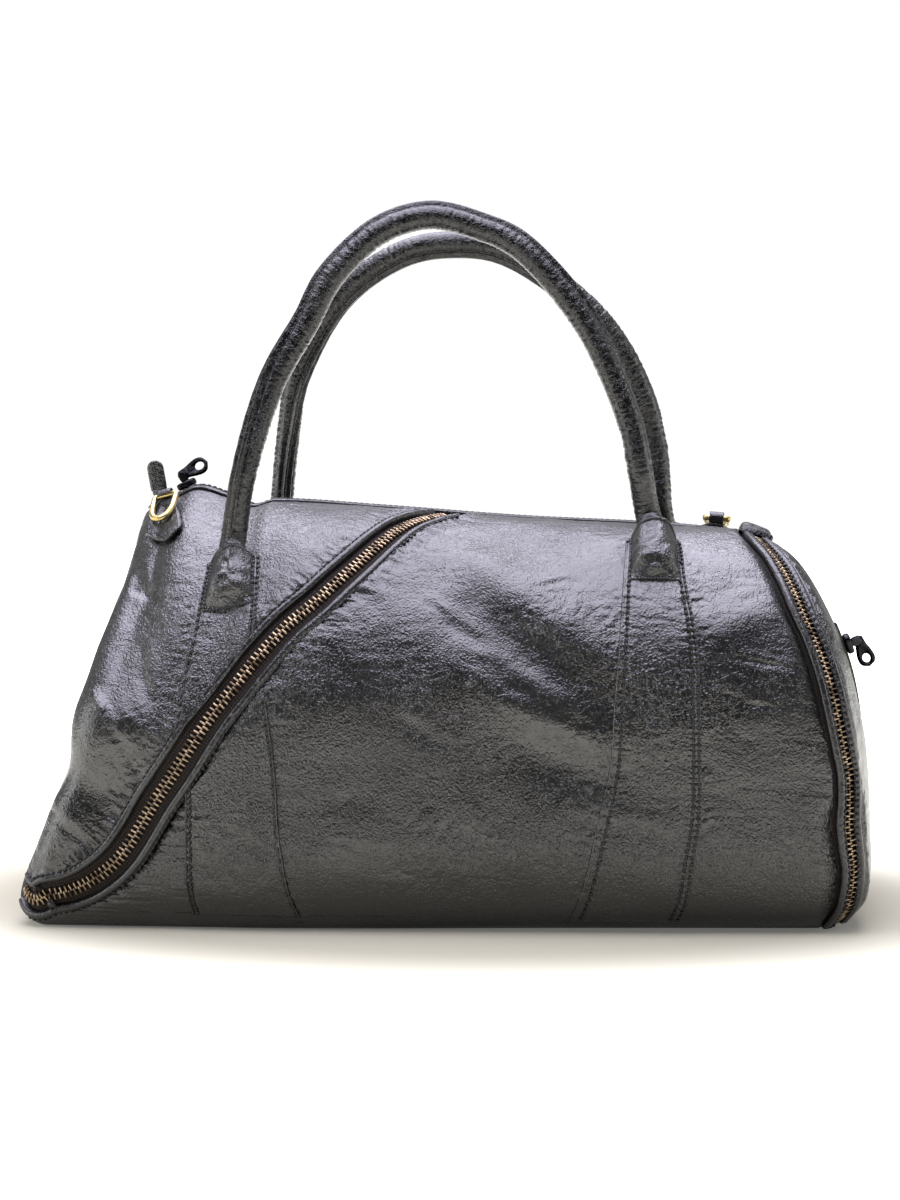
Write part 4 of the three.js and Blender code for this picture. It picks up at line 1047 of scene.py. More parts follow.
@dataclass(frozen=True)
class BandShape:
    """Where a handle band lies: its two rails, and the rows of stitches beside each of them."""

    name: str
    side: int
    hump: bool
    left: Rail
    right: Rail
    left_rows: tuple[float, ...] = (1.6,)
    right_rows: tuple[float, ...] = (1.6,)

    def place(self, across: Array, down: Array) -> tuple[Array, Array]:
        """Places on the band: rows run level at the top and turn towards a slanted foot.

        Args:
            across: Share from the left to the right rail.
            down: Share from the top to the foot.

        Returns:
            s and v.
        """
        rails = (self.left, self.right)
        own = [rail.v[-1] - rail.v[0] for rail in rails]
        mean = sum(own) / 2
        slant = ease(down, 0.4, 1)
        at = [rail.v[0] + down * (mean + (run - mean) * slant) for rail, run in zip(rails, own)]
        ends = [rail.at(v) for rail, v in zip(rails, at)]
        s = ends[0] + (ends[1] - ends[0]) * across
        v = at[0] + (at[1] - at[0]) * across
        return s, v if self.side > 0 else 4 - v

    def size(self, skin: Skin) -> tuple[float, float]:
        """Length down the middle and mean width, in millimetres."""
        down = np.linspace(0, 1, 40)
        middle = skin.plain(*self.place(np.full(40, 0.5), down))
        left, right = (skin.plain(*self.place(np.full(40, a), down)) for a in (0.0, 1.0))
        length = np.linalg.norm(np.diff(middle, axis=0), axis=1).sum()
        return float(length), float(np.linalg.norm(right - left, axis=1).mean())

    def covers(self, s: Array, v: Array, margin: float) -> Array:
        """1 inside the band and 0 outside, eased over a margin of s."""
        v = v if self.side > 0 else 4 - v
        left, right = self.left.at(v), self.right.at(v)
        inside = np.minimum(ease(s - left, 0, margin), ease(right - s, 0, margin))
        top = self.left.v[0] + (self.right.v[0] - self.left.v[0]) * np.clip(
            (s - left) / (right - left), 0, 1
        )
        return inside * ease(v - top, 0, 0.02) * (v < 1.0)


BANDS = (
    BandShape(
        "front_left_upper_band", 1, True,
        Rail(
            (0.262, 0.34, 0.438, 0.531, 0.619, 0.66),
            (-0.812, -0.808, -0.797, -0.799, -0.797, -0.797)
        ),
        Rail(
            (0.246, 0.3, 0.348, 0.4, 0.425, 0.44), (-0.644, -0.634, -0.627, -0.615, -0.61, -0.605)
        ),
        (1.8,), (1.4, 4.0)
    ),
    BandShape(
        "front_left_lower_band", 1, False,
        Rail((0.765, 0.824, 0.905, 0.952, BAND_FOOT), (-0.73, -0.702, -0.66, -0.631, -0.617)),
        Rail((0.56, 0.63, 0.801, 0.9, BAND_FOOT), (-0.555, -0.528, -0.463, -0.402, -0.34)),
        (1.4, 4.0), (2.4,)
    ),
    BandShape(
        "front_right_band", 1, True,
        Rail(
            (0.172, 0.279, 0.413, 0.543, 0.677, 0.786, 0.888, BAND_FOOT),
            (0.562, 0.506, 0.457, 0.425, 0.406, 0.379, 0.359, 0.34)
        ),
        Rail(
            (0.165, 0.268, 0.428, 0.533, 0.668, 0.779, 0.862, BAND_FOOT),
            (0.75, 0.705, 0.684, 0.668, 0.657, 0.651, 0.636, 0.624)
        ),
        (4.7,), (1.4, 4.4)
    ),
    BandShape(
        "back_left_band", -1, True, Rail((0.25, 0.5, 0.75, BAND_FOOT), (-0.76, -0.75, -0.7, -0.66)),
        Rail((0.25, 0.5, 0.75, BAND_FOOT), (-0.58, -0.56, -0.52, -0.48)), (1.8,), (1.8,)
    ),
    BandShape(
        "back_right_band", -1, True, Rail((0.2, 0.5, 0.75, BAND_FOOT), (0.6, 0.5, 0.47, 0.44)),
        Rail((0.2, 0.5, 0.75, BAND_FOOT), (0.79, 0.73, 0.71, 0.68)), (1.8,), (1.8,)
    ),
)


@dataclass
class Layout:
    """Where the zips and seams run on the skin."""

    skin: Skin
    zip_opening: float = 16
    top_opening: float = 18
    seam_gap: float = 0.3
    left_seam: float = -1.976
    left_rim: float = -2.012
    base_seam: float = 1.25
    end_zip_foot: float = 1.08
    end_zip_head: float = 0.03
    end_seam: float = 1.45
    top_left: float = -1.56
    top_right: float = 0.86
    top_taper: float = 0.1
    diagonal_s: tuple[float, ...] = (
        -0.027, -0.099, -0.178, -0.251, -0.318, -0.381, -0.45, -0.52, -0.586, -0.646, -0.705,
        -0.757, -0.805, -0.828, -0.845, -0.87, -0.92, -1.0, -1.15, -1.3, -1.45, -1.6, -1.78, -1.96
    )
    diagonal_v: tuple[float, ...] = (
        0.053, 0.102, 0.156, 0.214, 0.269, 0.316, 0.368, 0.416, 0.478, 0.542, 0.605, 0.69, 0.781,
        0.85, 0.884, 0.91, 0.936, 0.95, 0.959, 0.963, 0.965, 0.966, 0.967, 0.968
    )
    end_zip: Table = Table(
        (
            0, 0.15, 0.24, 0.32, 0.38, 0.446, 0.537, 0.619, 0.668, 0.72, 0.771, 0.817, 0.862, 0.908,
            0.959, 1.1
        ),
        (
            1.45, 1.36, 1.3, 1.29, 1.36, 1.41, 1.46, 1.52, 1.56, 1.51, 1.41, 1.42, 1.46, 1.38, 1.33,
            1.33
        )
    )

    def __post_init__(self) -> None:
        """Draws the three zips' centre lines."""
        self.diagonal = Line.through(self.skin, self.diagonal_s, self.diagonal_v)
        ends = np.linspace(self.end_zip_head, self.end_zip_foot, 60)
        self.end = Line.through(self.skin, self.end_line(ends), ends)
        along = np.linspace(-1.55, self.top_right, 60)
        self.top = Line.through(self.skin, along, along * 0)

    def top_half(self, s: Array) -> Array:
        """Half of the gap beside the ridge: the opening narrows to a seam at both ends."""
        inside = np.minimum(s - self.top_left, self.top_right - s)
        share = np.clip(inside / self.top_taper + 1, 0, 1)
        return self.seam_gap / 2 + (self.top_opening - self.seam_gap) / 2 * share

    def top_edge(self, s: Array, extra: float = 0.0) -> Array:
        """v of the leather's edge beside the ridge, plus some millimetres."""
        return self.skin.moved(s, np.zeros_like(s), 0, self.top_half(s) + extra)[1]

    def end_line(self, v: Array) -> Array:
        """s of the right end's edge all round: the zip on the front, a seam elsewhere."""
        foot = self.end_zip.smooth(self.end_zip_foot)
        share = np.clip((v - self.end_zip_foot) / (self.base_seam - self.end_zip_foot), 0, 1)
        return np.where(
            v <= self.end_zip_foot, self.end_zip.smooth(v), foot + (self.end_seam - foot) * share
        )

    def end_edge(self, v: Array, side: int, extra: float = 0.0) -> Array:
        """s of the leather's edge left (-1) or right (1) of the end line."""
        head = np.clip(v / self.end_zip_head, 0, 1)
        foot = np.clip((self.base_seam - v) / (self.base_seam - self.end_zip_foot), 0, 1)
        open_share = np.minimum(head, foot)
        half = self.seam_gap / 2 + (self.zip_opening - self.seam_gap) / 2 * open_share
        half = half + extra * (open_share > 0.02)
        return self.skin.moved(self.end_line(v), v, side * half, 0)[0]


@dataclass(frozen=True)
class Seam:
    """A sewn line that gathers the leather beside it into small wrinkles."""

    line: Array
    start: float
    reach: float
    height: float
    pitch: float


@dataclass(frozen=True)
class Crease:
    """A long thin fold line: its middle, turn in degrees, length, width and depth."""

    s: float
    v: float
    turn: float
    length: float
    width: float
    depth: float


CREASES = (
    Crease(0.87, 0.44, 12, 34, 1.6, -0.8), Crease(0.97, 0.4, -22, 22, 1.5, -0.7),
    Crease(0.8, 0.52, 20, 30, 1.8, -0.7), Crease(0.9, 0.3, -35, 18, 1.8, -0.6),
    Crease(0.1, 0.5, 32, 46, 5.0, -0.8), Crease(0.0, 0.42, 38, 34, 4.0, -0.7),
    Crease(0.22, 0.55, 26, 50, 5.0, -0.8), Crease(-0.12, 0.62, 30, 40, 4.5, -0.6),
    Crease(0.3, 0.3, -12, 28, 1.8, -0.5), Crease(-0.1, 0.36, 48, 24, 1.8, -0.5),
    Crease(-1.02, 0.3, 32, 26, 3.4, -1.4), Crease(-1.3, 0.26, 48, 20, 3.0, -1.6),
    Crease(-0.9, 0.7, 62, 60, 4.0, -1.2), Crease(-1.0, 0.84, 40, 36, 3.0, -0.9),
    Crease(-0.92, 0.52, 70, 40, 3.5, -0.9), Crease(-0.98, 0.62, 50, 46, 3.5, 1.0),
    Crease(0.45, 0.8, 10, 60, 5.0, -0.6), Crease(-0.35, 0.78, -20, 44, 4.0, -0.6),
    Crease(-0.5, 0.86, 35, 30, 2.6, -0.7), Crease(-0.62, 0.9, 50, 24, 2.2, -0.7),
)


@dataclass
class Wrinkles:
    """The relief of the leather: soft swells, small folds, crease lines and gathers at seams."""

    skin: Skin
    swells: tuple[tuple[float, ...], ...] = ((55, 0.9, 0.0), (21, 0.6, 9.1))  # size, height, shift
    small_folds: tuple[tuple, ...] = (  # size, depth, shift and sharpness
        ((16, 12, 8), 0.32, 0.0, 1.6),
        ((7, 7, 4.2), 0.14, 3.3, 1.3),
    )

    def __post_init__(self) -> None:
        """Seeds the noises and sets the creases' directions."""
        skin = self.skin
        self.swell, self.small, self.gather = Noise(11), Noise(23), Noise(37)
        self.creases = []
        for crease in CREASES:
            centre, out = skin.folded(crease.s, crease.v), skin.normal(crease.s, crease.v)
            level = unit(np.cross((0, 0, 1), out))
            angle = math.radians(-crease.turn)
            along = level * math.cos(angle) + np.cross(out, level) * math.sin(angle)
            self.creases.append((crease, centre, along, np.cross(out, along)))

    def lift(self, points: Array, seams: Sequence[Seam]) -> Array:
        """Height of the relief at points on the skin.

        Swells are noise of 55 mm and 21 mm; small folds are creased noise of 9 mm drawn out along
        the bag's length; a crease is a narrow bell across its line with a smaller ridge beside it;
        gathers are noise along a seam that fades away from it.

        Args:
            points: (..., 3) places.
            seams: The sewn lines near them.

        Returns:
            Millimetres, out is positive.
        """
        warp = np.stack([self.swell.at(points / 17 + k * 31.7) for k in range(3)], axis=-1) * 4
        bent = points + warp
        lift = np.zeros(points.shape[:-1])
        for size, height, shift in self.swells:
            lift = lift + height * self.swell.at(points / size + shift)
        lean = np.stack(
            [bent[..., 0] + 0.5 * bent[..., 2], bent[..., 1], bent[..., 2] - 0.3 * bent[..., 0]],
            axis=-1
        )
        zone = ease(self.swell.at(points / 48 + 5.5), -0.35, 0.45)
        for size, depth, shift, sharp in self.small_folds:
            lift = lift - zone * depth * self.small.ridged(lean / size + shift, sharp)
        for crease, centre, along, across in self.creases:
            offset = points - centre
            a = offset @ along / (crease.length / 2)
            c = (offset @ across + 2.2 * self.swell.at(points / 13 + crease.s * 9)) / crease.width
            away = np.exp(-(np.linalg.norm(offset, axis=-1) / crease.length) ** 4)
            shape = np.exp(-c * c) - 0.45 * np.exp(-((c - 1.9) ** 2))
            lift = lift + crease.depth * shape * np.exp(-a * a * a * a) * away
        for seam in seams:
            distance, index = nearest(points, seam.line, seam.start + 3 * seam.reach)
            away = np.maximum(distance - seam.start, 0)
            phase = np.stack(
                [index / seam.pitch, away / (seam.pitch * 4), index * 0 + 0.5], axis=-1
            )
            wave = self.gather.at(phase) + 0.6 * self.gather.at(phase * 2.1 + 4.4)
            fade = np.exp(-((away / seam.reach) ** 1.4))
            fade = fade * ease(distance, seam.start * 0.8, seam.start + 0.8)
            strength = 0.55 + 0.75 * self.swell.at(points / 30 + 2.2)
            lift = lift + np.where(
                np.isfinite(distance), seam.height * wave * fade * np.clip(strength, 0.1, 1.2), 0
            )
        return lift


@dataclass
class Body(Assembly):
    """The leather panels, with their edges tucked under the zips' bindings."""

    layout: Layout
    cell: float = 1.35  # millimetres between the grid's points
    hem: float = 2.4
    tuck: float = 2.6
    zip_reach: float = 20
    press: float = 1.1
    press_way: tuple[float, float] = (2.4, 5.2)
    band_press: float = 0.9
    samples: int = 300
    upper_size: tuple[float, float] = (330, 200)  # millimetres down and along
    lower_size: tuple[float, float] = (400, 400)
    back_size: tuple[float, float] = (290, 420)

    def __post_init__(self) -> None:
        """Collects the seams that gather the leather."""
        layout = self.layout
        self.wrinkles = Wrinkles(self.skin)
        half = layout.zip_opening / 2
        self.zip_seams = [
            Seam(layout.diagonal.points, half + 4, reach=10, height=3.2, pitch=2.9),
            Seam(layout.end.points, half + 4, reach=8, height=1.5, pitch=3.4),
        ]
        self.band_seams: dict[str, list[Seam]] = {}
        for band in BANDS:
            rails = []
            for rail in (band.left, band.right):
                v = np.linspace(rail.v[0], rail.v[-1], 120)
                line = self.skin.folded(rail.at(v), v if band.side > 0 else 4 - v)
                rails.append(
                    Seam(line, 0.5, 7, 1.0, 3.4 * 120 / max(np.linalg.norm(line[-1] - line[0]), 1))
                )
            self.band_seams[band.name] = rails

    def beside_zip(self, lift: Array, points: Array, line: Line, opening: float) -> Array:
        """The relief flattened and pressed in along a zip, where its binding lies.

        Args:
            lift: Millimetres at each point.
            points: (..., 3) places.
            line: The zip's centre line.
            opening: Its width.

        Returns:
            The new millimetres.
        """
        distance, _ = nearest(points, line.points, self.zip_reach)
        edge = np.where(np.isfinite(distance), distance - opening / 2, self.zip_reach)
        return lift * ease(edge, 3.4, 5.6) - self.press * (1 - ease(edge, *self.press_way))

    def hand_panel(self, name: str, panel: bpy.types.Object) -> None:
        """Hands over the leather panel that stands for a node."""
        self.shop.hand_over(panel, self.shop.calf, Slot.LEATHER, [name])

    def dress(self, name: str, s: Array, v: Array, seams: Sequence[Seam]) -> None:
        """Lays a grid on the skin, adds its relief and turns its four edges in.

        Args:
            name: The panel's and its node's name.
            s: Grid of places along the skin.
            v: Grid of places round it.
            seams: Sewn lines near the panel.
        """
        points, out = self.skin.laid(s, v)
        lift = self.wrinkles.lift(points, seams)
        layout = self.layout
        for line in (layout.diagonal, layout.end):
            lift = self.beside_zip(lift, points, line, layout.zip_opening)
        lift = self.beside_zip(lift, points, layout.top, layout.top_opening)
        for band in BANDS:
            if band.name.startswith("front") == (name.startswith("front")):
                lift -= self.band_press * band.covers(s, v, 0.02)
        points = points + out * (lift * self.off_base(v))[..., None]
        border = ((1, 1), (1, 1), (0, 0))
        sunk = np.pad(points - out * self.hem, border, mode="edge")
        sunk[1:-1, 1:-1] = points
        self.hand_panel(
            name, sheet_piece(f"{name}_leather", sunk, np.pad(out, border, mode="edge"))
        )

    @staticmethod
    def off_base(v: Array) -> Array:
        """Share of the relief that is kept: none on the flat base."""
        return ease(np.abs(np.mod(v, 4) - 2), 0.97, 1.1)

    @staticmethod
    def patch(top: Array, bottom: Array, left: Array, right: Array) -> tuple[Array, Array]:
        """Fills four border lines: the sum of both straight blends less that of the corners.

        Args:
            top: (m, 2) places s, v from left to right.
            bottom: The same below.
            left: (n, 2) places from top to bottom.
            right: The same on the right.

        Returns:
            Grids of s and v, n rows by m columns.
        """
        a = np.linspace(0, 1, len(top))[None, :, None]
        d = np.linspace(0, 1, len(left))[:, None, None]
        sides = left[:, None] * (1 - a) + right[:, None] * a
        levels = top[None] * (1 - d) + bottom[None] * d
        corners = (1 - d) * ((1 - a) * top[0] + a * top[-1]) + d * (
            (1 - a) * bottom[0] + a * bottom[-1]
        )
        grid = sides + levels - corners
        return grid[..., 0], grid[..., 1]

    def line_to(self, s: Array, v: Array, count: int) -> Array:
        """Places of a line, spaced evenly by its real length, as (count, 2)."""
        points = self.skin.plain(s, v)
        run = length_along(points)
        fine = np.linspace(0, run[-1], count)
        return np.stack([np.interp(fine, run, s), np.interp(fine, run, v)], axis=1)

    def upright(self, head: Array, foot: Array, count: int) -> Array:
        """Evenly spaced places from one place round the bag to another below it."""
        v = np.linspace(head[1], foot[1], self.samples)
        return self.line_to(np.full(self.samples, head[0]), v, count)

    def edge_beside(self, side: int) -> tuple[Array, Array]:
        """The tucked leather edge above (1) or below (-1) the diagonal, from the top edge down."""
        s, v = self.layout.diagonal.shifted(side * (self.layout.zip_opening / 2 + self.tuck))
        slope = (s[8] - s[0]) / (v[8] - v[0])
        head = float(self.layout.top_edge(np.array([0.0]), self.tuck)[0])
        keep = v > head + 0.002
        s, v = s[keep], v[keep]
        return np.concatenate([[s[0] + (head - v[0]) * slope], s]), np.concatenate([[head], v])

    def front_upper(self) -> None:
        """The panel above and left of the diagonal zip."""
        s, v = self.edge_beside(1)
        kink = int(np.argmin(np.abs(s - self.layout.diagonal_s[14]) + np.abs(v - 0.86)))
        rows, cols = (int(size / self.cell) for size in self.upper_size)
        right = self.line_to(s[: kink + 1], v[: kink + 1], rows)
        tail = np.minimum(np.arange(len(s[kink:])), len(s[kink:]) - 1)
        s_tail, v_tail = s[kink:][tail], v[kink:][tail]
        keep = s_tail > self.layout.left_seam
        s_tail = np.append(s_tail[keep], self.layout.left_seam)
        v_tail = np.append(v_tail[keep], v_tail[keep][-1])
        bottom = self.line_to(s_tail[::-1], v_tail[::-1], cols)
        along = np.linspace(self.layout.left_seam, right[0, 0], self.samples)
        top = self.line_to(along, self.layout.top_edge(along, self.tuck), cols)
        left = self.upright(top[0], bottom[0], rows)
        seams = [*self.zip_seams[:1], *self.band_seams["front_left_upper_band"]]
        self.dress("front_upper_panel", *self.patch(top, bottom, left, right), seams)

    def front_lower(self) -> None:
        """The panel below and right of the diagonal zip, wrapped under the bottom edge."""
        layout = self.layout
        s, v = self.edge_beside(-1)
        keep = s > layout.left_seam
        s, v = s[keep], v[keep]
        fall = np.linspace(v[-1], layout.base_seam, 40)[1:]
        rows, cols = (int(size / self.cell) for size in self.lower_size)
        left = self.line_to(
            np.concatenate([s, np.full(39, layout.left_seam)]), np.concatenate([v, fall]), rows
        )
        head = float(layout.top_edge(np.array([0.8]), self.tuck)[0])
        down = np.concatenate(
            [np.linspace(head, 0.9, 400), np.linspace(0.9, layout.base_seam, 60)[1:]]
        )
        right = self.line_to(layout.end_edge(down, -1, self.tuck), down, rows)
        along = np.linspace(left[0, 0], right[0, 0], self.samples)
        top = self.line_to(along, layout.top_edge(along, self.tuck), cols)
        top[0], top[-1] = left[0], right[0]
        across = np.linspace(left[-1, 0], right[-1, 0], self.samples)
        bottom = self.line_to(across, np.full(self.samples, layout.base_seam), cols)
        seams = [
            *self.zip_seams, *self.band_seams["front_left_lower_band"],
            *self.band_seams["front_right_band"]
        ]
        self.dress("front_lower_panel", *self.patch(top, bottom, left, right), seams)

    def back(self) -> None:
        """The rear panel from the base seam up to the top opening."""
        layout = self.layout
        rows, cols = (int(size / self.cell) for size in self.back_size)
        along = np.linspace(layout.left_seam, layout.end_seam - 0.006, self.samples)
        top = self.line_to(along, 4 - layout.top_edge(along, self.tuck), cols)
        bottom = self.line_to(along, np.full(self.samples, 4 - layout.base_seam), cols)
        sides = [self.upright(top[end], bottom[end], rows) for end in (0, -1)]
        seams = [*self.band_seams["back_left_band"], *self.band_seams["back_right_band"]]
        self.dress("back_panel", *self.patch(top, bottom, *sides), seams)

    def base(self) -> None:
        """The flat underside between the base seams."""
        layout = self.layout
        s, v = np.meshgrid(
            np.linspace(layout.left_seam, layout.end_seam - 0.006, 160),
            np.linspace(layout.base_seam + 0.004, 4 - layout.base_seam - 0.004, 60)
        )
        points, out = self.skin.laid(s, v)
        self.hand_panel("base_panel", sheet_piece("base_panel_leather", points, out))

    def end(self, side: int) -> None:
        """An end panel: rings from its rim to its middle, all round.

        Args:
            side: -1 for the left end, 1 for the right.
        """
        layout = self.layout
        around, rings = int(640 / (self.cell * 1.2)), 56
        even = np.linspace(0, 4, 1600)
        rim_s = np.full(1600, layout.left_rim) if side < 0 else layout.end_edge(even, 1, self.tuck)
        rim = self.line_to(rim_s, even, around + 1)[:-1]
        share = np.linspace(0, 1, rings)[:, None] ** 0.9
        inner = side * 2.97
        s = rim[None, :, 0] + (inner - rim[None, :, 0]) * share
        v = np.broadcast_to(rim[None, :, 1], s.shape)
        seams = self.zip_seams[1:] if side > 0 else []
        points, out = self.skin.laid(s, v)
        lift = self.wrinkles.lift(points, seams)
        if side > 0:
            lift = self.beside_zip(lift, points, layout.end, layout.zip_opening)
        lift = lift * self.off_base(v)
        points = points + out * lift[..., None]
        points = np.concatenate([(points[0] - out[0] * self.hem)[None], points])
        out = np.concatenate([out[:1], out])
        flat, away = points.reshape(-1, 3), out.reshape(-1, 3)
        flat = np.concatenate([flat, points[-1].mean(axis=0, keepdims=True)])
        away = np.concatenate([away, away[-1:]])
        quads = grid_faces(rings + 1, around, False, True)
        last = rings * around + np.arange(around)
        pole = np.stack([last, np.full(around, len(flat) - 1), np.roll(last, -1)], axis=1)
        triangles = outward_faces(flat, np.concatenate([halved(quads), pole]), away)
        name = "left_end_panel" if side < 0 else "right_end_panel"
        self.hand_panel(name, mesh_piece(f"{name}_leather", flat, triangles))

    def build(self) -> None:
        """Makes every panel."""
        self.front_upper()
        self.front_lower()
        self.back()
        self.base()
        self.end(-1)
        self.end(1)


# ---------------------------------------------------------------- zips and their bindings


@dataclass
class Zips(Assembly):
    """Three zip chains on woven tape, between rolled leather bindings."""

    layout: Layout
    tape_lift: float = -3.2
    tape_width: float = 24
    tooth_pitch: float = 3.0
    stitch_row: float = 4.5
    stitch_pitch: float = 3.5
    stitch_depth: float = 0.1
    stitch_size: tuple[float, float] = (2.5, 0.7)  # length and radius
    pucker: float = 0.35
    top_height: float = 0.35
    binding: Table = Table(
        (-0.35, -0.3, -0.25, 0.0, 0.5, 1.2, 2.0, 2.8, 3.4, 3.9, 4.3, 4.8),
        (-3.1, -2.0, -1.0, -0.1, 0.55, 0.95, 1.05, 0.9, 0.5, 0.05, -0.45, -0.9))

    def tape(self, name: str, line: Line, node: str) -> None:
        """A ribbon of woven tape below the teeth.

        Args:
            name: The piece's name.
            line: The zip's centre line.
            node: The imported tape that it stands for.
        """
        sides = np.linspace(-0.5, 0.5, 13) * self.tape_width
        cord = 0.35 * np.exp(-((np.abs(sides) - 4.4) / 0.7) ** 2)
        piece = ribbon_piece(name, line, sides, self.tape_lift + cord)
        self.shop.hand_over(piece, self.shop.tape, Slot.TAPE, [node])

    @staticmethod
    def tooth() -> tuple[Array, Array]:
        """One cast tooth along +y: a bar whose width and height swell at its hooked head.

        Returns:
            Its points and faces, x along the chain and z up.
        """
        reach = np.array([-0.75, -0.55, -0.1, 0.5, 1.3, 3.0, 3.6, 3.8])
        wide = np.array([0.18, 0.5, 0.68, 0.62, 0.52, 0.58, 0.5, 0.2])
        tall = np.array([0.9, 1.7, 2.2, 2.25, 2.15, 2.15, 1.7, 0.7])
        angle = np.linspace(0, 2 * np.pi, 8, endpoint=False) + np.pi / 8
        x = np.outer(wide, squared(np.cos(angle), 0.6))
        z = np.outer(tall, 0.5 + 0.5 * squared(np.sin(angle), 0.6))
        y = np.broadcast_to(reach[:, None], x.shape)
        points = np.stack([x, y, z], axis=-1).reshape(-1, 3)
        middle = points.reshape(8, 8, 3).mean(axis=1, keepdims=True)
        faces = outward_faces(
            points, grid_faces(8, 8, False, True), (points.reshape(8, 8, 3) - middle).reshape(-1, 3)
        )
        return points, faces

    def chain(self, name: str, line: Line, node: str) -> None:
        """Two interlocked rows of teeth along a line.

        Args:
            name: The piece's name.
            line: The zip's centre line.
            node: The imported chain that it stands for.
        """
        run = line.run
        count = int(run[-1] / self.tooth_pitch * 2)
        at = (np.arange(count) + 0.5) * self.tooth_pitch / 2
        s, v = np.interp(at, run, line.s), np.interp(at, run, line.v)
        out = self.skin.normal(s, v)
        smooth_points = Line(self.skin, s, v).points
        along = unit(np.gradient(smooth_points, axis=0))
        along = unit(along - out * np.sum(along * out, axis=1, keepdims=True))
        side = np.where(np.arange(count) % 2, 1.0, -1.0)[:, None]
        sideways = np.cross(out, along) * side
        axes = np.stack([along * side, sideways, out], axis=1)
        piece = copies_piece(
            name, self.tooth(), smooth_points + out * (self.tape_lift + 0.25), axes
        )
        self.shop.hand_over(piece, self.shop.teeth, Slot.ANTIQUE_BRASS, [node])

    def edge(self, name: str, s: Array, v: Array, away: int, height: float = 1.0) -> None:
        """A rolled leather binding along one edge of an opening.

        Args:
            name: The piece's name.
            s: The edge's places along the skin.
            v: The edge's places round it.
            away: 1 if the leather lies left of the line seen from outside, -1 if right.
            height: Share of the binding's full height.
        """
        line = Line(self.skin, s, v)
        profile = np.linspace(self.binding.at[0], self.binding.at[-1], 22)
        profile = np.unique(np.concatenate([profile, self.binding.at[:4]]))
        places = [line.shifted(away * distance) for distance in profile]
        grid_s, grid_v = (np.stack([place[k] for place in places], axis=1) for k in (0, 1))
        points, out = self.skin.laid(grid_s, grid_v)
        ripple = Noise(51)
        wave = ripple.at(points / 9) * 0.12 + ripple.at(points / 3.1 + 7) * 0.05
        swell = ease(profile, -0.2, 0.6) * (1 - ease(profile, 3.6, 4.8))
        along_row = np.cos(line.run * 2 * np.pi / self.stitch_pitch)[:, None]
        stitch = along_row * np.exp(-((profile - self.stitch_row + 0.7) / 0.8) ** 2)[None]
        lift = self.binding.smooth(profile)[None] + wave * swell[None] + self.pucker * stitch
        lift = lift * np.where(profile > -0.2, height, 1)
        piece = sheet_piece(name, points + out * lift[..., None], out)
        self.shop.hand_over(piece, self.shop.rolled, Slot.LEATHER)
        self.sew(f"{name}_stitches", s, v, away)

    def sew(self, name: str, s: Array, v: Array, away: int) -> None:
        """A row of threads in the groove beside a binding.

        Args:
            name: The piece's name.
            s: The opening's edge along the skin.
            v: The opening's edge round it.
            away: 1 if the leather lies left of the edge, -1 if right.
        """
        groove = Line(self.skin, *Line(self.skin, s, v).shifted(away * self.stitch_row))
        run = groove.run
        at = np.arange(self.stitch_pitch, run[-1] - self.stitch_pitch, self.stitch_pitch)
        s, v = np.interp(at, run, groove.s), np.interp(at, run, groove.v)
        points, out = self.skin.laid(s, v)
        at = points - out * self.stitch_depth
        piece = copies_piece(name, capsule(*self.stitch_size), at, sewn_axes(points, out))
        self.shop.hand_over(piece, self.shop.thread, Slot.DARK_LEATHER)

    def build(self) -> None:
        """Makes the tapes, the chains and the bindings."""
        layout = self.layout
        head = float(layout.top_edge(np.array([0.0]), 4)[0])
        keep = layout.diagonal.v > head
        diagonal = Line(self.skin, layout.diagonal.s[keep], layout.diagonal.v[keep])
        top_chain = Line.through(self.skin, np.linspace(-1.24, 0.8, 40), np.zeros(40))
        for name, tape, chain in (
            ("main_zip", layout.top, top_chain), ("diagonal_zip", diagonal, diagonal),
            ("end_zip", layout.end, layout.end)
        ):
            self.tape(f"{name}_ribbon", tape, f"{name}_tape")
            self.chain(f"{name}_chain", chain, f"{name}_teeth")
        half = layout.zip_opening / 2
        for name, side in (("diagonal_upper_binding", 1), ("diagonal_lower_binding", -1)):
            s, v = layout.diagonal.shifted(side * half)
            start = float(layout.top_edge(np.array([0.0]))[0])
            inside = (v > start) & (s > layout.left_seam)
            self.edge(name, s[inside], v[inside], side)
        down = np.linspace(layout.end_zip_head * 0.3, 1.16, 420)
        for name, side in (("end_left_binding", -1), ("end_right_binding", 1)):
            self.edge(name, layout.end_edge(down, side), down, side)
        along = np.linspace(-1.9, 1.4, 420)
        self.edge("top_front_binding", along, layout.top_edge(along), -1, self.top_height)
        self.edge("top_back_binding", along, -layout.top_edge(along), 1, self.top_height)


# ---------------------------------------------------------------- bands and handles


@dataclass(frozen=True)
class Hump:
    """Rise of a band over the handle end under it: down in millimetres, across as a share."""

    rise: Table = Table((0, 5, 10, 16, 22, 26, 30, 34), (15.6, 13.6, 12.6, 12.0, 10.4, 7.4, 2.8, 0))
    share: Table = Table((0, 0.07, 0.13, 0.2, 0.3, 0.4, 0.5, 0.6, 0.7, 0.8, 0.87, 0.93, 1),
                         (0, 0.04, 0.34, 0.68, 0.89, 0.98, 1, 0.98, 0.89, 0.68, 0.34, 0.04, 0))
    rounding: float = 7

    def at(self, down: Array, across: Array) -> Array:
        """Rise over the grid of both; its foot comes up to the rails by the cube of the way."""
        lower = down + self.rounding * np.abs(2 * across - 1) ** 3
        return np.maximum(self.rise.smooth(lower), 0) * np.clip(self.share.smooth(across), 0, 1)


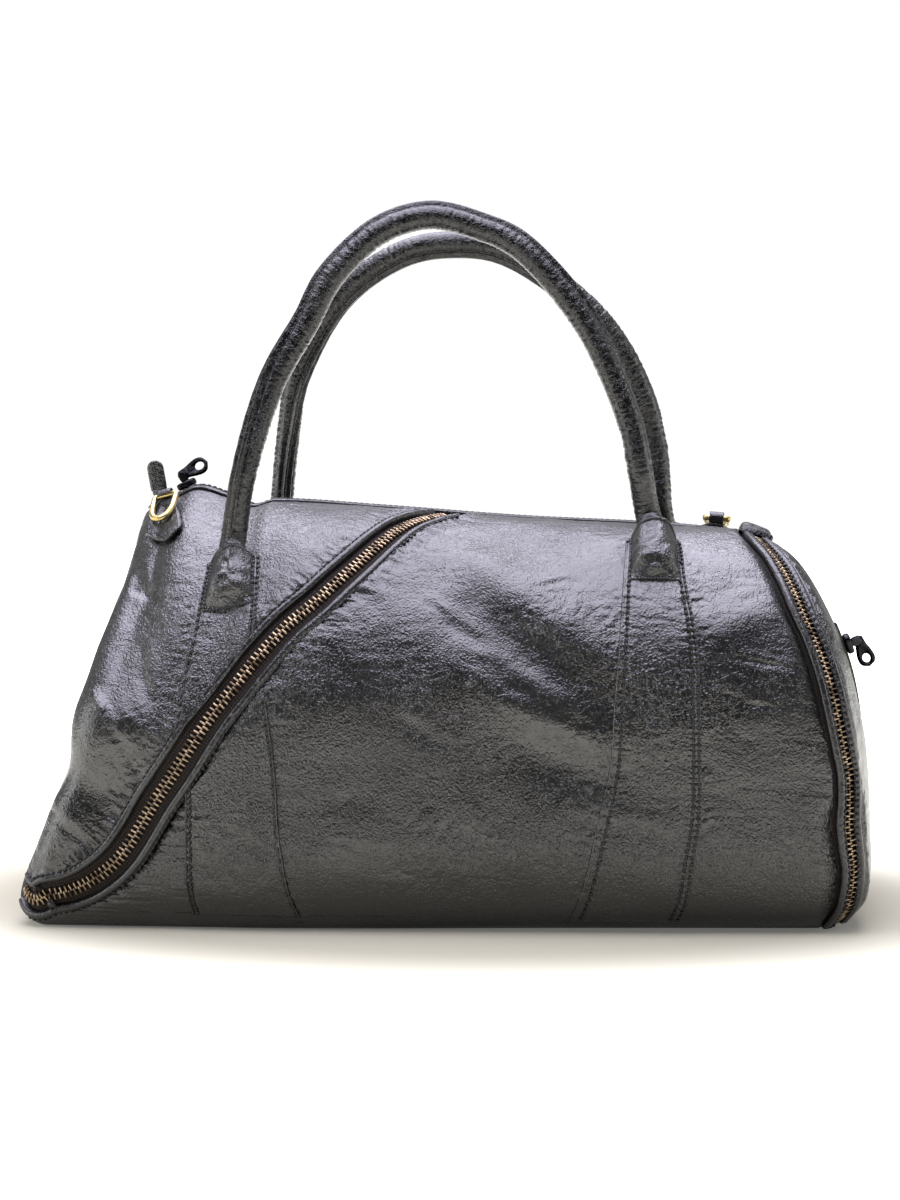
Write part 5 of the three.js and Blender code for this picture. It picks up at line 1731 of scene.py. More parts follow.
@dataclass
class Bands(Assembly):
    """The sewn bands that carry the handles, with their rows of stitches."""

    wrinkles: Wrinkles
    seams: dict[str, list[Seam]]
    hump: Hump = Hump()
    wall: float = 1.1
    lift: float = 0.75
    edge: Table = Table((0, 0.3, 0.7, 1.2, 2.5), (-1.1, -0.3, 0.15, 0.2, 0.0))
    groove: float = 0.9
    groove_width: float = 0.7
    pucker: float = 0.28
    pucker_width: float = 2.2
    stitch_pitch: float = 3.4
    stitch_size: tuple[float, float] = (2.6, 0.85)  # length and radius
    stitch_turn: float = 0.16
    stitch_lift: float = 0.12
    box_share: float = 0.1
    box_depth: float = 32
    box_pitch: float = 2.3
    box_size: tuple[float, float] = (2.0, 0.9)
    lip_radius: float = 1.25

    def __post_init__(self) -> None:
        """Seeds the lips' fraying."""
        self.fray = Noise(71)

    def surface(
        self, band: BandShape, across: Array, down: Array, seams: Sequence[Seam]
    ) -> tuple[Array, Array]:
        """Points and normals of the band's face.

        Args:
            band: Its shape.
            across: Grid of shares across.
            down: Grid of shares down.
            seams: Sewn lines that gather it.

        Returns:
            Points in millimetres and outward normals.
        """
        length, width = band.size(self.skin)
        s, v = band.place(across, down)
        points, out = self.skin.laid(s, v)
        relief = self.wrinkles.lift(points, seams)
        beside = np.minimum(across, 1 - across) * width
        ends = np.minimum(down * length, (1 - down) * length + 3)
        wave = np.cos(down * 2 * np.pi * int(length / self.stitch_pitch))
        for rows, reach in (
            (band.left_rows, across * width), (band.right_rows, (1 - across) * width)
        ):
            for row in rows:
                relief = relief - self.groove * np.exp(-((reach - row) / self.groove_width) ** 2)
                relief = relief - self.pucker * wave * np.exp(
                    -((reach - row) / self.pucker_width) ** 2
                )
        lift = self.lift + relief * 0.9 + self.edge.smooth(beside) + 0.5 * self.edge.smooth(ends)
        if band.hump:
            rise = self.hump.at(down * length, across)
            crumple = self.fray.at(points / (10, 10, 4)) * 1.4
            crumple = crumple + self.fray.at(points / (7, 7, 2.8) + 4) * 0.6
            lift += rise + crumple * ease(rise, 1, 6)
        return points + out * lift[..., None], out

    def build_band(self, band: BandShape) -> None:
        """One band, its rows of stitches and the bound edge at its top."""
        length, width = band.size(self.skin)
        rows = max(int(length / 0.9), 20)
        fine = np.array([0, 0.3, 0.7, 1.2, 1.7, 2.2, 2.8, 3.4, 3.9, 4.4, 4.9, 5.5]) / width
        middle = np.linspace(fine[-1], 1 - fine[-1], max(int(width / 1.5), 10))[1:-1]
        cols = np.concatenate([fine, middle, 1 - fine[::-1]])
        down, across = np.meshgrid(np.linspace(0, 1, rows), cols, indexing="ij")
        points, out = self.surface(band, across, down, self.seams[band.name])
        piece = sheet_piece(f"{band.name}_leather", points, out)
        thicken(piece, self.wall, -1)
        self.shop.hand_over(piece, self.shop.calf, Slot.LEATHER, [band.name])
        for number, (rail, rows_beside) in enumerate(((0, band.left_rows), (1, band.right_rows))):
            for order, beside in enumerate(rows_beside):
                count = int(length / self.stitch_pitch)
                across = np.full(count, abs(rail - beside / width))
                down = (np.arange(count) + 0.5) / count
                self.stitches(
                    f"{band.name}_stitches_{number}_{order}", band, across, down, self.stitch_size
                )
        if band.hump:
            self.bound_top(band)
            self.boxed(band)

    def stitches(
        self, name: str, band: BandShape, across: Array, down: Array, thread: tuple[float, float]
    ) -> None:
        """A row of threads, each along the row and a little turned.

        Args:
            name: The piece's name.
            band: The band that it is sewn on.
            across: Each thread's share across.
            down: Each thread's share down.
            thread: A thread's length and radius.
        """
        points, out = self.surface(band, across, down, self.seams[band.name])
        axes = sewn_axes(points, out, self.stitch_turn)
        piece = copies_piece(name, capsule(*thread), points + out * self.stitch_lift, axes)
        self.shop.hand_over(piece, self.shop.thread, Slot.DARK_LEATHER)

    def boxed(self, band: BandShape) -> None:
        """Heavy threads down both sides of the handle's end and across below it."""
        length, width = band.size(self.skin)
        inset, deep = self.box_share, self.box_depth
        corners = np.array([(inset, 1.5), (inset, deep), (1 - inset, deep), (1 - inset, 1.5)])
        run = length_along(corners * (width, 1))
        at = np.arange(self.box_pitch / 2, run[-1], self.box_pitch)
        across, down = np.interp(at, run, corners[:, 0]), np.interp(at, run, corners[:, 1]) / length
        self.stitches(f"{band.name}_box_stitches", band, across, down, self.box_size)

    def bound_top(self, band: BandShape) -> None:
        """The folded, oversewn lip at a band's top, as a thin ragged roll."""
        across = np.linspace(0.01, 0.99, 90)
        points, out = self.surface(band, across, np.full(90, 0.004), [])
        along = unit(np.gradient(points, axis=0))
        sideways = unit(np.cross(out, along))
        radius = self.lip_radius * (1 + 0.3 * self.fray.at(points / 2.3))
        rings = round_rings(points, radius[:, None, None], out * 0.9, sideways, 10)
        piece = tube_piece(f"{band.name}_lip", rings, False)
        self.shop.hand_over(piece, self.shop.strap, Slot.DARK_LEATHER)

    def build(self) -> None:
        """Makes every band."""
        for band in BANDS:
            self.build_band(band)


@dataclass(frozen=True)
class Arch:
    """The standing part of a handle: shares of the half span, the rise and the half depth."""

    across: tuple[float, ...]
    rise: tuple[float, ...]
    lean: tuple[float, ...]


FRONT_ARCH = Arch(
    (-0.965, -0.826, -0.661, -0.548, -0.304, -0.061, 0.183, 0.374, 0.696, 0.922, 0.974),
    (0.12, 0.425, 0.63, 0.78, 0.94, 0.99, 0.95, 0.885, 0.63, 0.29, 0.12),
    (-0.6, -0.55, -0.51, -0.48, -0.44, -0.41, -0.4, -0.4, -0.4, -0.42, -0.43))
BACK_ARCH = Arch(
    (-0.92, -0.855, -0.626, -0.296, -0.026, 0.287, 0.765, 0.974, 1.061),
    (0.27, 0.49, 0.765, 0.92, 0.955, 0.92, 0.67, 0.43, 0.22),
    (0.52, 0.47, 0.42, 0.38, 0.36, 0.36, 0.38, 0.43, 0.47))


@dataclass
class Handles(Assembly):
    """Rolled leather handles: a gathered core with a flat sewn welt along it."""

    half_span: float = 115
    rise: float = 166
    spacing: float = 0.7
    girth: float = 48
    tip_down: tuple[float, ...] = (24, 16, 8, 0, -10)
    tip_lift: tuple[float, ...] = (5.4, 5.7, 6.4, 8, 11)
    thick: Table = Table((0, 8, 16, 24, 36, 50), (3.7, 3.9, 4.5, 5.5, 6.9, 7.6))
    wide: Table = Table((0, 8, 16, 24, 36, 50), (9, 9, 8.7, 8.3, 7.9, 7.6))

    def __post_init__(self) -> None:
        """Seeds the wrinkles."""
        self.noise = Noise(91)

    def tip(self, band: BandShape) -> Array:
        """The handle's end under its band, from its tip up."""
        length, _ = band.size(self.skin)
        down = np.array(self.tip_down) / length
        s, v = band.place(np.full(len(down), 0.5), down)
        return self.skin.place(s, v, np.array(self.tip_lift))

    @staticmethod
    def curve(points: Array, spacing: float) -> Array:
        """Centripetal Catmull-Rom curve through points, spaced evenly.

        Each stretch is a cubic whose end slopes weigh the neighbours by the square root of their
        distances, so the curve neither loops nor overshoots.

        Args:
            points: (n, 3) points.
            spacing: Millimetres between the curve's points.

        Returns:
            (m, 3) points.
        """
        padded = np.concatenate(
            [2 * points[:1] - points[1:2], points, 2 * points[-1:] - points[-2:-1]]
        )
        gap = np.sqrt(np.linalg.norm(np.diff(padded, axis=0), axis=1))[:, None]
        before, here, after = gap[:-2], gap[1:-1], gap[2:]
        p0, p1, p2, p3 = padded[:-3], padded[1:-2], padded[2:-1], padded[3:]
        m1 = ((p1 - p0) / before - (p2 - p0) / (before + here) + (p2 - p1) / here) * here
        m2 = ((p2 - p1) / here - (p3 - p1) / (here + after) + (p3 - p2) / after) * here
        t = np.linspace(0, 1, 60, endpoint=False)[:, None, None]
        cubic = ((2 * t**3 - 3 * t**2 + 1) * p1 + (t**3 - 2 * t**2 + t) * m1
                 + (3 * t**2 - 2 * t**3) * p2 + (t**3 - t**2) * m2)
        fine = np.concatenate([cubic.transpose(1, 0, 2).reshape(-1, 3), points[-1:]])
        run = length_along(fine)
        even = np.linspace(0, run[-1], int(run[-1] / spacing))
        return np.stack([np.interp(even, run, fine[:, k]) for k in range(3)], axis=1)

    def build_one(
        self, name: str, bands: tuple[BandShape, BandShape], arch: Arch, side: int
    ) -> None:
        """One handle.

        Its section is an ellipse by thick and wide. Gathers raise it by noise that is short along
        the handle and long round it, and the welt is two narrow rolls side by side, which swing
        from the outside of the arch to the inside of each leg.

        Args:
            name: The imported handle's name.
            bands: The bands of its left and right end.
            arch: Its standing part.
            side: 1 in front, -1 behind.
        """
        standing = np.stack([
            np.array(arch.across) * self.half_span,
            np.array(arch.lean) * self.skin.half_depth,
            self.skin.ridge_height + np.array(arch.rise) * self.rise], axis=1)
        marks = np.concatenate([self.tip(bands[0]), standing, self.tip(bands[1])[::-1]])
        path = self.curve(marks, self.spacing)
        count, around = len(path), 64
        along = unit(np.gradient(path, axis=0))
        run = np.arange(count) * self.spacing
        from_end = np.minimum(run, run[-1] - run)
        places = [band.place(np.array(0.5), np.array(0.1)) for band in bands]
        ends = [self.skin.plain_normal(float(s), float(v)) for s, v in places]
        end = np.where((run < run[-1] / 2)[:, None], ends[0], ends[1])
        mix = np.clip((from_end - 40) / 60, 0, 1)[:, None]
        facing = end * (1 - mix) + np.array([0, -side, 0.3]) * mix
        up = unit(facing - along * np.sum(facing * along, axis=1, keepdims=True))
        wide_way = np.cross(along, up)
        angle = circle(around)
        thick, wide = self.thick.straight(from_end)[:, None], self.wide.straight(from_end)[:, None]
        swell = self.noise.at(np.stack([run / 40, run * 0, run * 0], axis=1))
        shrink = 0.94 + 0.02 * swell[:, None]
        c, q = np.cos(angle)[None], np.sin(angle)[None]
        phase = np.stack(np.broadcast_arrays(run[:, None] / 1.5, 0.6 * c, 0.6 * q), axis=-1)
        pull = 0.5 + 0.5 * ease(self.noise.at(phase * (0.09, 0.5, 0.5) + 3), -0.4, 0.4)
        gathers = 0.5 * self.noise.at(phase) * pull + 0.16 * self.noise.at(phase * 1.6 + 8)
        outer = self.welt_angle(along, up, wide_way, from_end, side)
        apart = np.angle(np.exp(1j * (angle[None] - outer[:, None])))
        stand = ease(from_end, 26, 44)[:, None]
        rolls = sum(2.0 * np.exp(-((apart + shift) / 0.15) ** 4) for shift in (-0.2, 0.2))
        welt = stand * (rolls - 0.9 * np.exp(-((np.abs(apart) - 0.5) / 0.12) ** 2))
        smooth_zone = 1 - 0.9 * np.exp(-((apart / 0.5) ** 4)) * stand
        radius_more = gathers * smooth_zone + welt
        rings = (path[:, None] + up[:, None] * ((thick * shrink + radius_more) * c)[..., None]
                 + wide_way[:, None] * ((wide * shrink + radius_more) * q)[..., None])
        turn = angle / (2 * np.pi) * self.girth
        uv = np.stack(np.broadcast_arrays(run[:, None] * MM, turn[None] * MM), axis=-1)
        piece = tube_piece(f"{name}_roll", rings, False, uv)
        self.shop.hand_over(piece, self.shop.strap, Slot.DARK_LEATHER, [name])

    @staticmethod
    def welt_angle(along: Array, up: Array, wide_way: Array, from_end: Array, side: int) -> Array:
        """Angle of the welt round the section: outside the arch, and swung in at the legs.

        Args:
            along: Directions along the handle.
            up: The section's thick way.
            wide_way: The section's wide way.
            from_end: Length to the nearer end.
            side: 1 in front, -1 behind.

        Returns:
            Radians for each station.
        """
        outer = unit(np.cross(along, np.array([0.0, side, 0.0])))
        angle = np.unwrap(np.arctan2(np.sum(outer * wide_way, axis=1), np.sum(outer * up, axis=1)))
        left = np.arange(len(angle)) < len(angle) / 2
        swing = (1 - ease(from_end, 60, 210)) * np.where(left, 1, -1) * np.radians(62) * side
        return angle + swing

    def build(self) -> None:
        """Makes both handles."""
        by_name = {band.name: band for band in BANDS}
        self.build_one(
            "front_handle", (by_name["front_left_upper_band"], by_name["front_right_band"]),
            FRONT_ARCH, 1
        )
        self.build_one(
            "back_handle", (by_name["back_left_band"], by_name["back_right_band"]), BACK_ARCH, -1
        )


# ---------------------------------------------------------------- rings, tabs, sliders and pulls


@dataclass
class Fittings(Assembly):
    """The D-rings on their tabs, the sliders with their pulls and the leather ends of the zips."""

    tongue_wall: float = 1.7
    tongue_lift: float = 2.3
    tongue_face: Table = Table((0, 0.4, 1.0, 1.8, 2.6, 4), (-1.4, -0.5, -0.1, 0.05, -0.25, 0.0))
    strap_wall: float = 1.3
    strap_half: float = 4.6
    bar_gap: float = 0.5
    ring_wire: float = 3.6
    ring_width: float = 17
    ring_length: float = 27
    outline_across: tuple[float, ...] = (0, 0.62, 0.94, 1, 1, 0.95, 0.8, 0.48, 0)
    outline_down: tuple[float, ...] = (0, 0, 0.03, 0.1, 0.36, 0.6, 0.78, 0.93, 1)
    tab_down: tuple[float, ...] = (-2, 8, 18, 27, 34, 40)
    tab_left: tuple[float, ...] = (-4.5, -7, -8.5, -8, -5, -1)
    tab_right: tuple[float, ...] = (4.5, 8, 13, 15, 12, 3)
    pin_height: float = 8.4
    pull_half: Table = Table(
        (-2.4, -1.2, 0, 4, 8, 12.1, 15, 16.6), (0, 2.1, 2.4, 2.9, 4.0, 4.5, 3.3, 0))
    end_strap_lean: float = math.radians(10)

    def __post_init__(self) -> None:
        """Seeds the creasing."""
        self.noise = Noise(17)

    def stand(
        self, s: float, v: float, lift: float, side: int, towards: tuple[float, float] | None = None
    ) -> Array:
        """A frame on the skin: rows x, y, z and the origin, x along the bag and z out of it.

        Args:
            s: Place along the skin.
            v: Place round it.
            lift: Millimetres above it.
            side: -1 turns x for the back of the bag.
            towards: A second place that the frame's -y points at.

        Returns:
            (4, 3) rows.
        """
        here_s, here_v = np.array(s, float), np.array(v, float)
        origin = self.skin.place(here_s, here_v, np.array(lift))
        ahead, behind = (self.skin.moved(here_s, here_v, reach, 0)[0] for reach in (8, -8))
        x = unit((self.skin.plain(ahead, here_v) - self.skin.plain(behind, here_v)) * side)
        z = self.skin.normal(here_s, here_v)
        if towards is None:
            x = unit(x - z * np.dot(x, z))
        else:
            up = unit(self.skin.folded(here_s, here_v) - self.skin.folded(*map(np.array, towards)))
            x = unit(x - up * np.dot(x, up))
            z = unit(np.cross(x, up))
        return np.stack([x, np.cross(z, x), z, origin])

    def ring(self, prefix: str, place: Array) -> None:
        """A D-ring of round wire, a smooth closed loop in the frame's x, y plane.

        Args:
            prefix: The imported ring's name.
            place: Its frame.
        """
        half, drop = (self.ring_width - self.ring_wire) / 2, self.ring_length - self.ring_wire
        right = np.stack(
            [np.array(self.outline_across) * half, -np.array(self.outline_down) * drop], axis=1
        )
        loop = np.concatenate([right, right[1:-1][::-1] * (-1, 1)])
        run = np.arange(len(loop) + 6) - 3
        padded = np.concatenate([loop[-3:], loop, loop[:3]])
        fine = np.linspace(0, len(loop), 120, endpoint=False)
        x, y = (Table(tuple(run), tuple(padded[:, k])).smooth(fine) for k in (0, 1))
        centre = np.stack([x, y, x * 0], axis=1)
        along = unit(np.roll(centre, -1, axis=0) - np.roll(centre, 1, axis=0))
        out = np.stack([along[:, 1], -along[:, 0], along[:, 0] * 0], axis=1)
        level = np.broadcast_to((0, 0, 1.0), out.shape)
        rings = round_rings(centre, self.ring_wire / 2, out, level, 20)
        piece = tube_piece(f"{prefix}_wire", rings @ place[:3] + place[3], True)
        self.shop.hand_over(piece, self.shop.ring, Slot.PALE_BRASS, [prefix], prefix)

    def tab(
        self, prefix: str, s: float, v: float, hang: tuple[float, float], side: int, seat: float,
        place: Array
    ) -> None:
        """The leather tab that holds a ring: a tongue on the bag and a strap looped over the bar.

        Args:
            prefix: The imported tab's prefix.
            s: The bar's place along the skin.
            v: The bar's place round it.
            hang: s and v from the bar towards the tab's tip.
            side: -1 on the back of the bag.
            seat: Millimetres from the skin to the tongue's underside.
            place: The ring's frame.
        """
        ends = self.skin.folded(np.array([s, s + hang[0]]), np.array([v, v + hang[1]]))
        reach = np.linalg.norm(ends[1] - ends[0])
        down = np.linspace(self.tab_down[0], self.tab_down[-1], 44)
        left, right = (
            Table(self.tab_down, edge).smooth(down) for edge in (self.tab_left, self.tab_right)
        )
        share = np.linspace(0, 1, 22)
        centre_s, centre_v = (base + step * down / reach for base, step in zip((s, v), hang))
        grid_s = np.broadcast_to(centre_s[:, None], (44, 22))
        grid_v = np.broadcast_to(centre_v[:, None], (44, 22))
        across = side * (left[:, None] + (right - left)[:, None] * share[None])
        grid_s, grid_v = self.skin.moved(grid_s, grid_v, across, 0)
        points, out = self.skin.laid(grid_s, grid_v)
        border = np.minimum(
            np.minimum(share, 1 - share)[None] * (right - left)[:, None], (down[-1] - down)[:, None]
        )
        crumple = self.noise.at(points / 7) * 0.35 + self.noise.at(points / 3) * 0.15
        lift = seat + self.tongue_lift + self.tongue_face.smooth(border) + crumple
        sheet = sheet_piece(f"{prefix}_tongue", points + out * lift[..., None], out)
        thicken(sheet, self.tongue_wall, -1)
        self.shop.hand_over(sheet, self.shop.strap, Slot.DARK_LEATHER, [f"{prefix}_tab"])
        self.strap_loop(prefix, place)

    def strap_loop(self, prefix: str, place: Array) -> None:
        """The strap over the ring's bar: a flat band carried round it and down to the tongue."""
        turn = np.linspace(-0.25, 1.35, 34) * np.pi
        inner = self.ring_wire / 2 + self.bar_gap
        profile = np.stack([inner * np.sin(turn), inner * np.cos(turn)], axis=1)
        tail = np.stack(
            [np.full(8, profile[-1, 0]), np.linspace(profile[-1, 1], profile[-1, 1] - 2.2, 8)],
            axis=1
        )
        tail[:, 0] -= np.linspace(0, 4.5, 8)
        line = np.concatenate([profile, tail[1:]])
        across = np.linspace(-1, 1, 15)
        half = self.strap_half * (1 - 0.1 * across**2)
        bulge = 0.35 * (1 - across**2)
        grid = np.stack([
            np.broadcast_to((across * half)[None], (len(line), 15)),
            line[:, :1] * (1 + bulge[None] * 0.1), line[:, 1:] * (1 + bulge[None] * 0.1)], axis=-1)
        level = grid[..., 0] * 0
        out = np.stack([level, line[:, :1] + level, line[:, 1:] + level], axis=-1)
        piece = sheet_piece(f"{prefix}_strap", grid @ place[:3] + place[3], unit(out) @ place[:3])
        thicken(piece, self.strap_wall, 1)
        self.shop.hand_over(piece, self.shop.rolled, Slot.DARK_LEATHER)

    def outline_piece(
        self, name: str, outer: Array, inner: Array | None, depth: float, place: Array, bevel: float
    ) -> bpy.types.Object:
        """A flat plate with rounded edges: an outline, with or without a hole, given a depth.

        The wall's section is a row of steps round both edges, each drawn in by a quarter circle.

        Args:
            name: The piece's name.
            outer: (n, 2) outline in the frame's x, y.
            inner: (n, 2) outline of the hole with the same count, or None.
            depth: Thickness along z.
            place: The frame.
            bevel: Radius of its edges.

        Returns:
            The object.
        """
        angle = np.linspace(0, np.pi / 2, 5)
        rim_in = bevel * (1 - np.sin(angle))
        rim_z = depth / 2 - bevel * (1 - np.cos(angle))

        def offset(loop: Array, inset: float) -> Array:
            along = unit(np.roll(loop, -1, axis=0) - np.roll(loop, 1, axis=0))
            way = np.stack([-along[:, 1], along[:, 0]], axis=1)
            return loop + way * inset

        rows = [(offset(outer, inset), z) for inset, z in zip(rim_in, rim_z)]
        rings = [*rows, *[(loop, -z) for loop, z in reversed(rows)]]
        if inner is not None:
            holes = [(offset(inner, -inset), -z) for inset, z in zip(rim_in, rim_z)]
            rings = [*rings, *holes, *[(loop, -z) for loop, z in reversed(holes)]]
        grid = np.stack(
            [np.concatenate([loop, np.full((len(loop), 1), z)], axis=1) for loop, z in rings]
        )
        stations, around = grid.shape[:2]
        flat = grid.reshape(-1, 3)
        if inner is not None:
            faces = grid_faces(stations, around, True, True)
            triangles = halved(faces)
        else:
            faces = grid_faces(stations, around, False, True)
            k = np.arange(around)
            caps = []
            for start, middle in ((0, len(flat)), ((stations - 1) * around, len(flat) + 1)):
                corners = np.stack(
                    [start + k, np.full(around, middle), start + (k + 1) % around], axis=1
                )
                caps.append(corners if start == 0 else corners[:, ::-1])
            flat = np.concatenate([flat, grid[[0, -1]].mean(axis=1)])
            triangles = np.concatenate([halved(faces), *[c[:, ::-1] for c in caps]])
        a, b, c = (flat[triangles[:, k]] for k in range(3))
        if np.sum(a * np.cross(b, c)) < 0:
            triangles = triangles[:, ::-1]
        return mesh_piece(name, flat @ place[:3] + place[3], triangles)

    def slider(self, prefix: str, s: float, v: float, sit: float, tilt: float) -> None:
        """A zip slider and its pull.

        Args:
            prefix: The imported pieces' prefix.
            s: Place along the skin.
            v: Place round it.
            sit: Millimetres above it.
            tilt: Degrees that the pull is raised at rest.
        """
        base = self.stand(s, v, 0, 1)
        base = np.concatenate([base[:3], [base[3] + base[2] * sit]])
        t = np.linspace(0, 2 * np.pi, 48, endpoint=False)
        body = np.stack(
            [6 * squared(np.cos(t), 0.7), (4.7 - 0.7 * np.cos(t)) * squared(np.sin(t), 0.7)], axis=1
        )
        middle = np.concatenate([base[:3], [base[3] + base[2] * 2.2]])
        plate = self.outline_piece(f"{prefix}_slider_body", body, None, 3.9, middle, 1.3)
        self.shop.hand_over(plate, self.shop.nickel, Slot.BLACK_METAL, [f"{prefix}_slider"])
        pivot = self.pin_height
        for number, way in enumerate((-1, 1)):
            ear = np.stack([2.4 * squared(np.cos(t), 0.8), 3.4 * np.sin(t)], axis=1)
            axes = np.stack(
                [
                    base[0], base[2], np.cross(base[0], base[2]),
                    base[3] + base[2] * (pivot - 1.6) + base[1] * way * 1.65
                ]
            )
            piece = self.outline_piece(f"{prefix}_slider_ear_{number}", ear, None, 0.95, axes, 0.35)
            self.shop.hand_over(piece, self.shop.nickel, Slot.BLACK_METAL)
        self.pull(prefix, base, pivot, tilt)

    def pull(self, prefix: str, base: Array, pivot: float, tilt: float) -> None:
        """A drop-shaped pull with an eye, on its pin."""
        t = np.linspace(0, 2 * np.pi, 64, endpoint=False)
        share = 0.5 - 0.5 * np.cos(t)
        first, last = self.pull_half.at[0], self.pull_half.at[-1]
        reach = first + share * (last - first)
        half = self.pull_half.smooth(reach)
        outer = np.stack([reach, half * np.sign(np.sin(t) + 1e-9)], axis=1)
        eye = np.stack([11.8 - 3.5 * np.cos(t), 2.8 * np.sin(t)], axis=1)
        turn = math.radians(tilt)
        x = base[0] * math.cos(turn) + base[2] * math.sin(turn)
        z = base[2] * math.cos(turn) - base[0] * math.sin(turn)
        axes = np.stack([x, z, np.cross(x, z), base[3] + base[2] * pivot])
        piece = self.outline_piece(f"{prefix}_pull_drop", outer, eye, 1.6, axes, 0.5)
        self.shop.hand_over(
            piece, self.shop.nickel, Slot.BLACK_METAL, [f"{prefix}_pull"], f"{prefix}_pull"
        )

    def end_tab(self) -> None:
        """The standing strap at the left end of the top zip, leaning left, creased at its foot."""
        foot = self.skin.place(np.array(-1.5), np.array(0.0), np.array(0.0))
        lean = self.end_strap_lean
        rise = np.linspace(-1.5, 22, 48)
        tip_round = np.sqrt(np.clip(1 - ((rise - 17) / 5.0).clip(0) ** 2, 0.02, 1))
        half = 5.0 * tip_round * (0.72 + 0.28 * ease(rise, 1, 7))
        crumple = 0.55 * np.exp(-((rise - 2.2) / 0.8) ** 2)
        crumple = crumple + 0.45 * np.exp(-((rise - 4.6) / 0.7) ** 2)
        angle = circle(28)
        flat_round = squared(np.sin(angle), 0.45)
        thick = (1.45 + crumple)[:, None] * flat_round[None] * np.minimum(1, (half / 2.2))[:, None]
        wide = (half + crumple * 0.8)[:, None] * np.cos(angle)[None]
        spots = np.stack(np.broadcast_arrays(rise[:, None] / 3, angle[None], 0.0), axis=-1)
        ripple = self.noise.at(spots) * 0.14
        up = np.array([-math.sin(lean), 0, math.cos(lean)])
        along = np.array([math.cos(lean), 0, math.sin(lean)])
        forward = np.array([0, -1.0, 0])
        rings = foot + rise[:, None, None] * up + wide[..., None] * along
        rings = rings + (thick + ripple)[..., None] * forward
        piece = tube_piece("main_zip_end_strap", rings, False)
        self.shop.hand_over(piece, self.shop.calf, Slot.DARK_LEATHER, ["main_zip_end_tab"])

    def end_zip_cap(self) -> None:
        """Folded leather over the head of the end zip: a crowned pad with two rolls."""
        s, v = np.meshgrid(np.linspace(1.1, 1.7, 40), np.linspace(-0.043, 0.053, 30), indexing="ij")
        a, b = np.meshgrid(np.linspace(-1, 1, 40), np.linspace(-1, 1, 30), indexing="ij")
        points, out = self.skin.laid(s, v)
        pad = np.clip(1 - np.maximum(np.abs(a), np.abs(b)) ** 6, 0, 1) ** 0.5
        roll = 0.9 * np.cos(b * 5.5) + self.noise.at(points / 4) * 0.4
        lift = 0.3 + pad * (4.0 + roll)
        piece = sheet_piece("end_zip_cap", points + out * lift[..., None], out)
        self.shop.hand_over(piece, self.shop.strap, Slot.DARK_LEATHER, ["end_zip_tab"])

    def pocket(self) -> None:
        """The short pocket zip on the right end: tape and a nylon coil."""
        line = Line.through(self.skin, (2.36, 2.46, 2.56, 2.66, 2.76, 2.84), (0.09,) * 6, 0.8)
        sides = np.linspace(-5, 5, 9)
        lift = 1.7 + 0.5 * np.exp(-((sides / 1.6) ** 2)) - 1.2 * (np.abs(sides) / 5) ** 6
        piece = ribbon_piece("pocket_zip_ribbon", line, sides, lift)
        self.shop.hand_over(piece, self.shop.tape, Slot.TAPE, ["pocket_zip_tape"])

    def build(self) -> None:
        """Makes every fitting."""
        for prefix, s, v, hang, side, seat in (
                ("left_ring", -1.08, 0.06, (0.12, 0.13), 1, 1.2),
                ("right_ring", 0.93, 4 - 0.062, (-0.02, -0.1), -1, 0.9)):
            near = (s + hang[0] * 0.45, v + hang[1] * 0.45)
            place = self.stand(s, v, seat + 5.5, side, near)
            self.ring(prefix, place)
            self.tab(prefix, s, v, hang, side, seat, place)
        self.slider("main_zip", -0.965, 0.0, -0.4, 2)
        self.slider("pocket_zip", 2.47, 0.09, 1.9, 4)
        self.end_tab()
        self.end_zip_cap()
        self.pocket()


# ---------------------------------------------------------------- studio


@dataclass(frozen=True)
class Lamp:
    """A soft rectangular lamp; place and size are in metres."""

    name: str
    place: tuple[float, float, float]
    size: tuple[float, float]
    power: float
    colour: str
    aim: tuple[float, float, float]

    def light(self) -> None:
        """Hangs the lamp and turns it to what it lights."""
        data = bpy.data.lights.new(self.name, "AREA")
        data.shape = "RECTANGLE"
        data.size, data.size_y = self.size
        data.energy = self.power
        data.color = linear(self.colour)[:3]
        lamp = bpy.data.objects.new(self.name, data)
        lamp.location = self.place
        way = Vector(self.aim) - Vector(self.place)
        lamp.rotation_euler = way.to_track_quat("-Z", "Y").to_euler()
        bpy.context.scene.collection.objects.link(lamp)


LAMPS = (
    Lamp("overhead", (-0.1, 0.1, 1.35), (1.5, 2.0), 76, "#eeeaff", (-0.1, 0.1, 0)),
    Lamp("left_window", (-1.5, -0.5, 0.5), (0.8, 0.9), 11, "#ffffff", (0, 0, 0.12)),
    Lamp("right_window", (1.6, 0.0, 0.6), (0.5, 0.9), 7, "#ffffff", (0, 0, 0.12)),
)


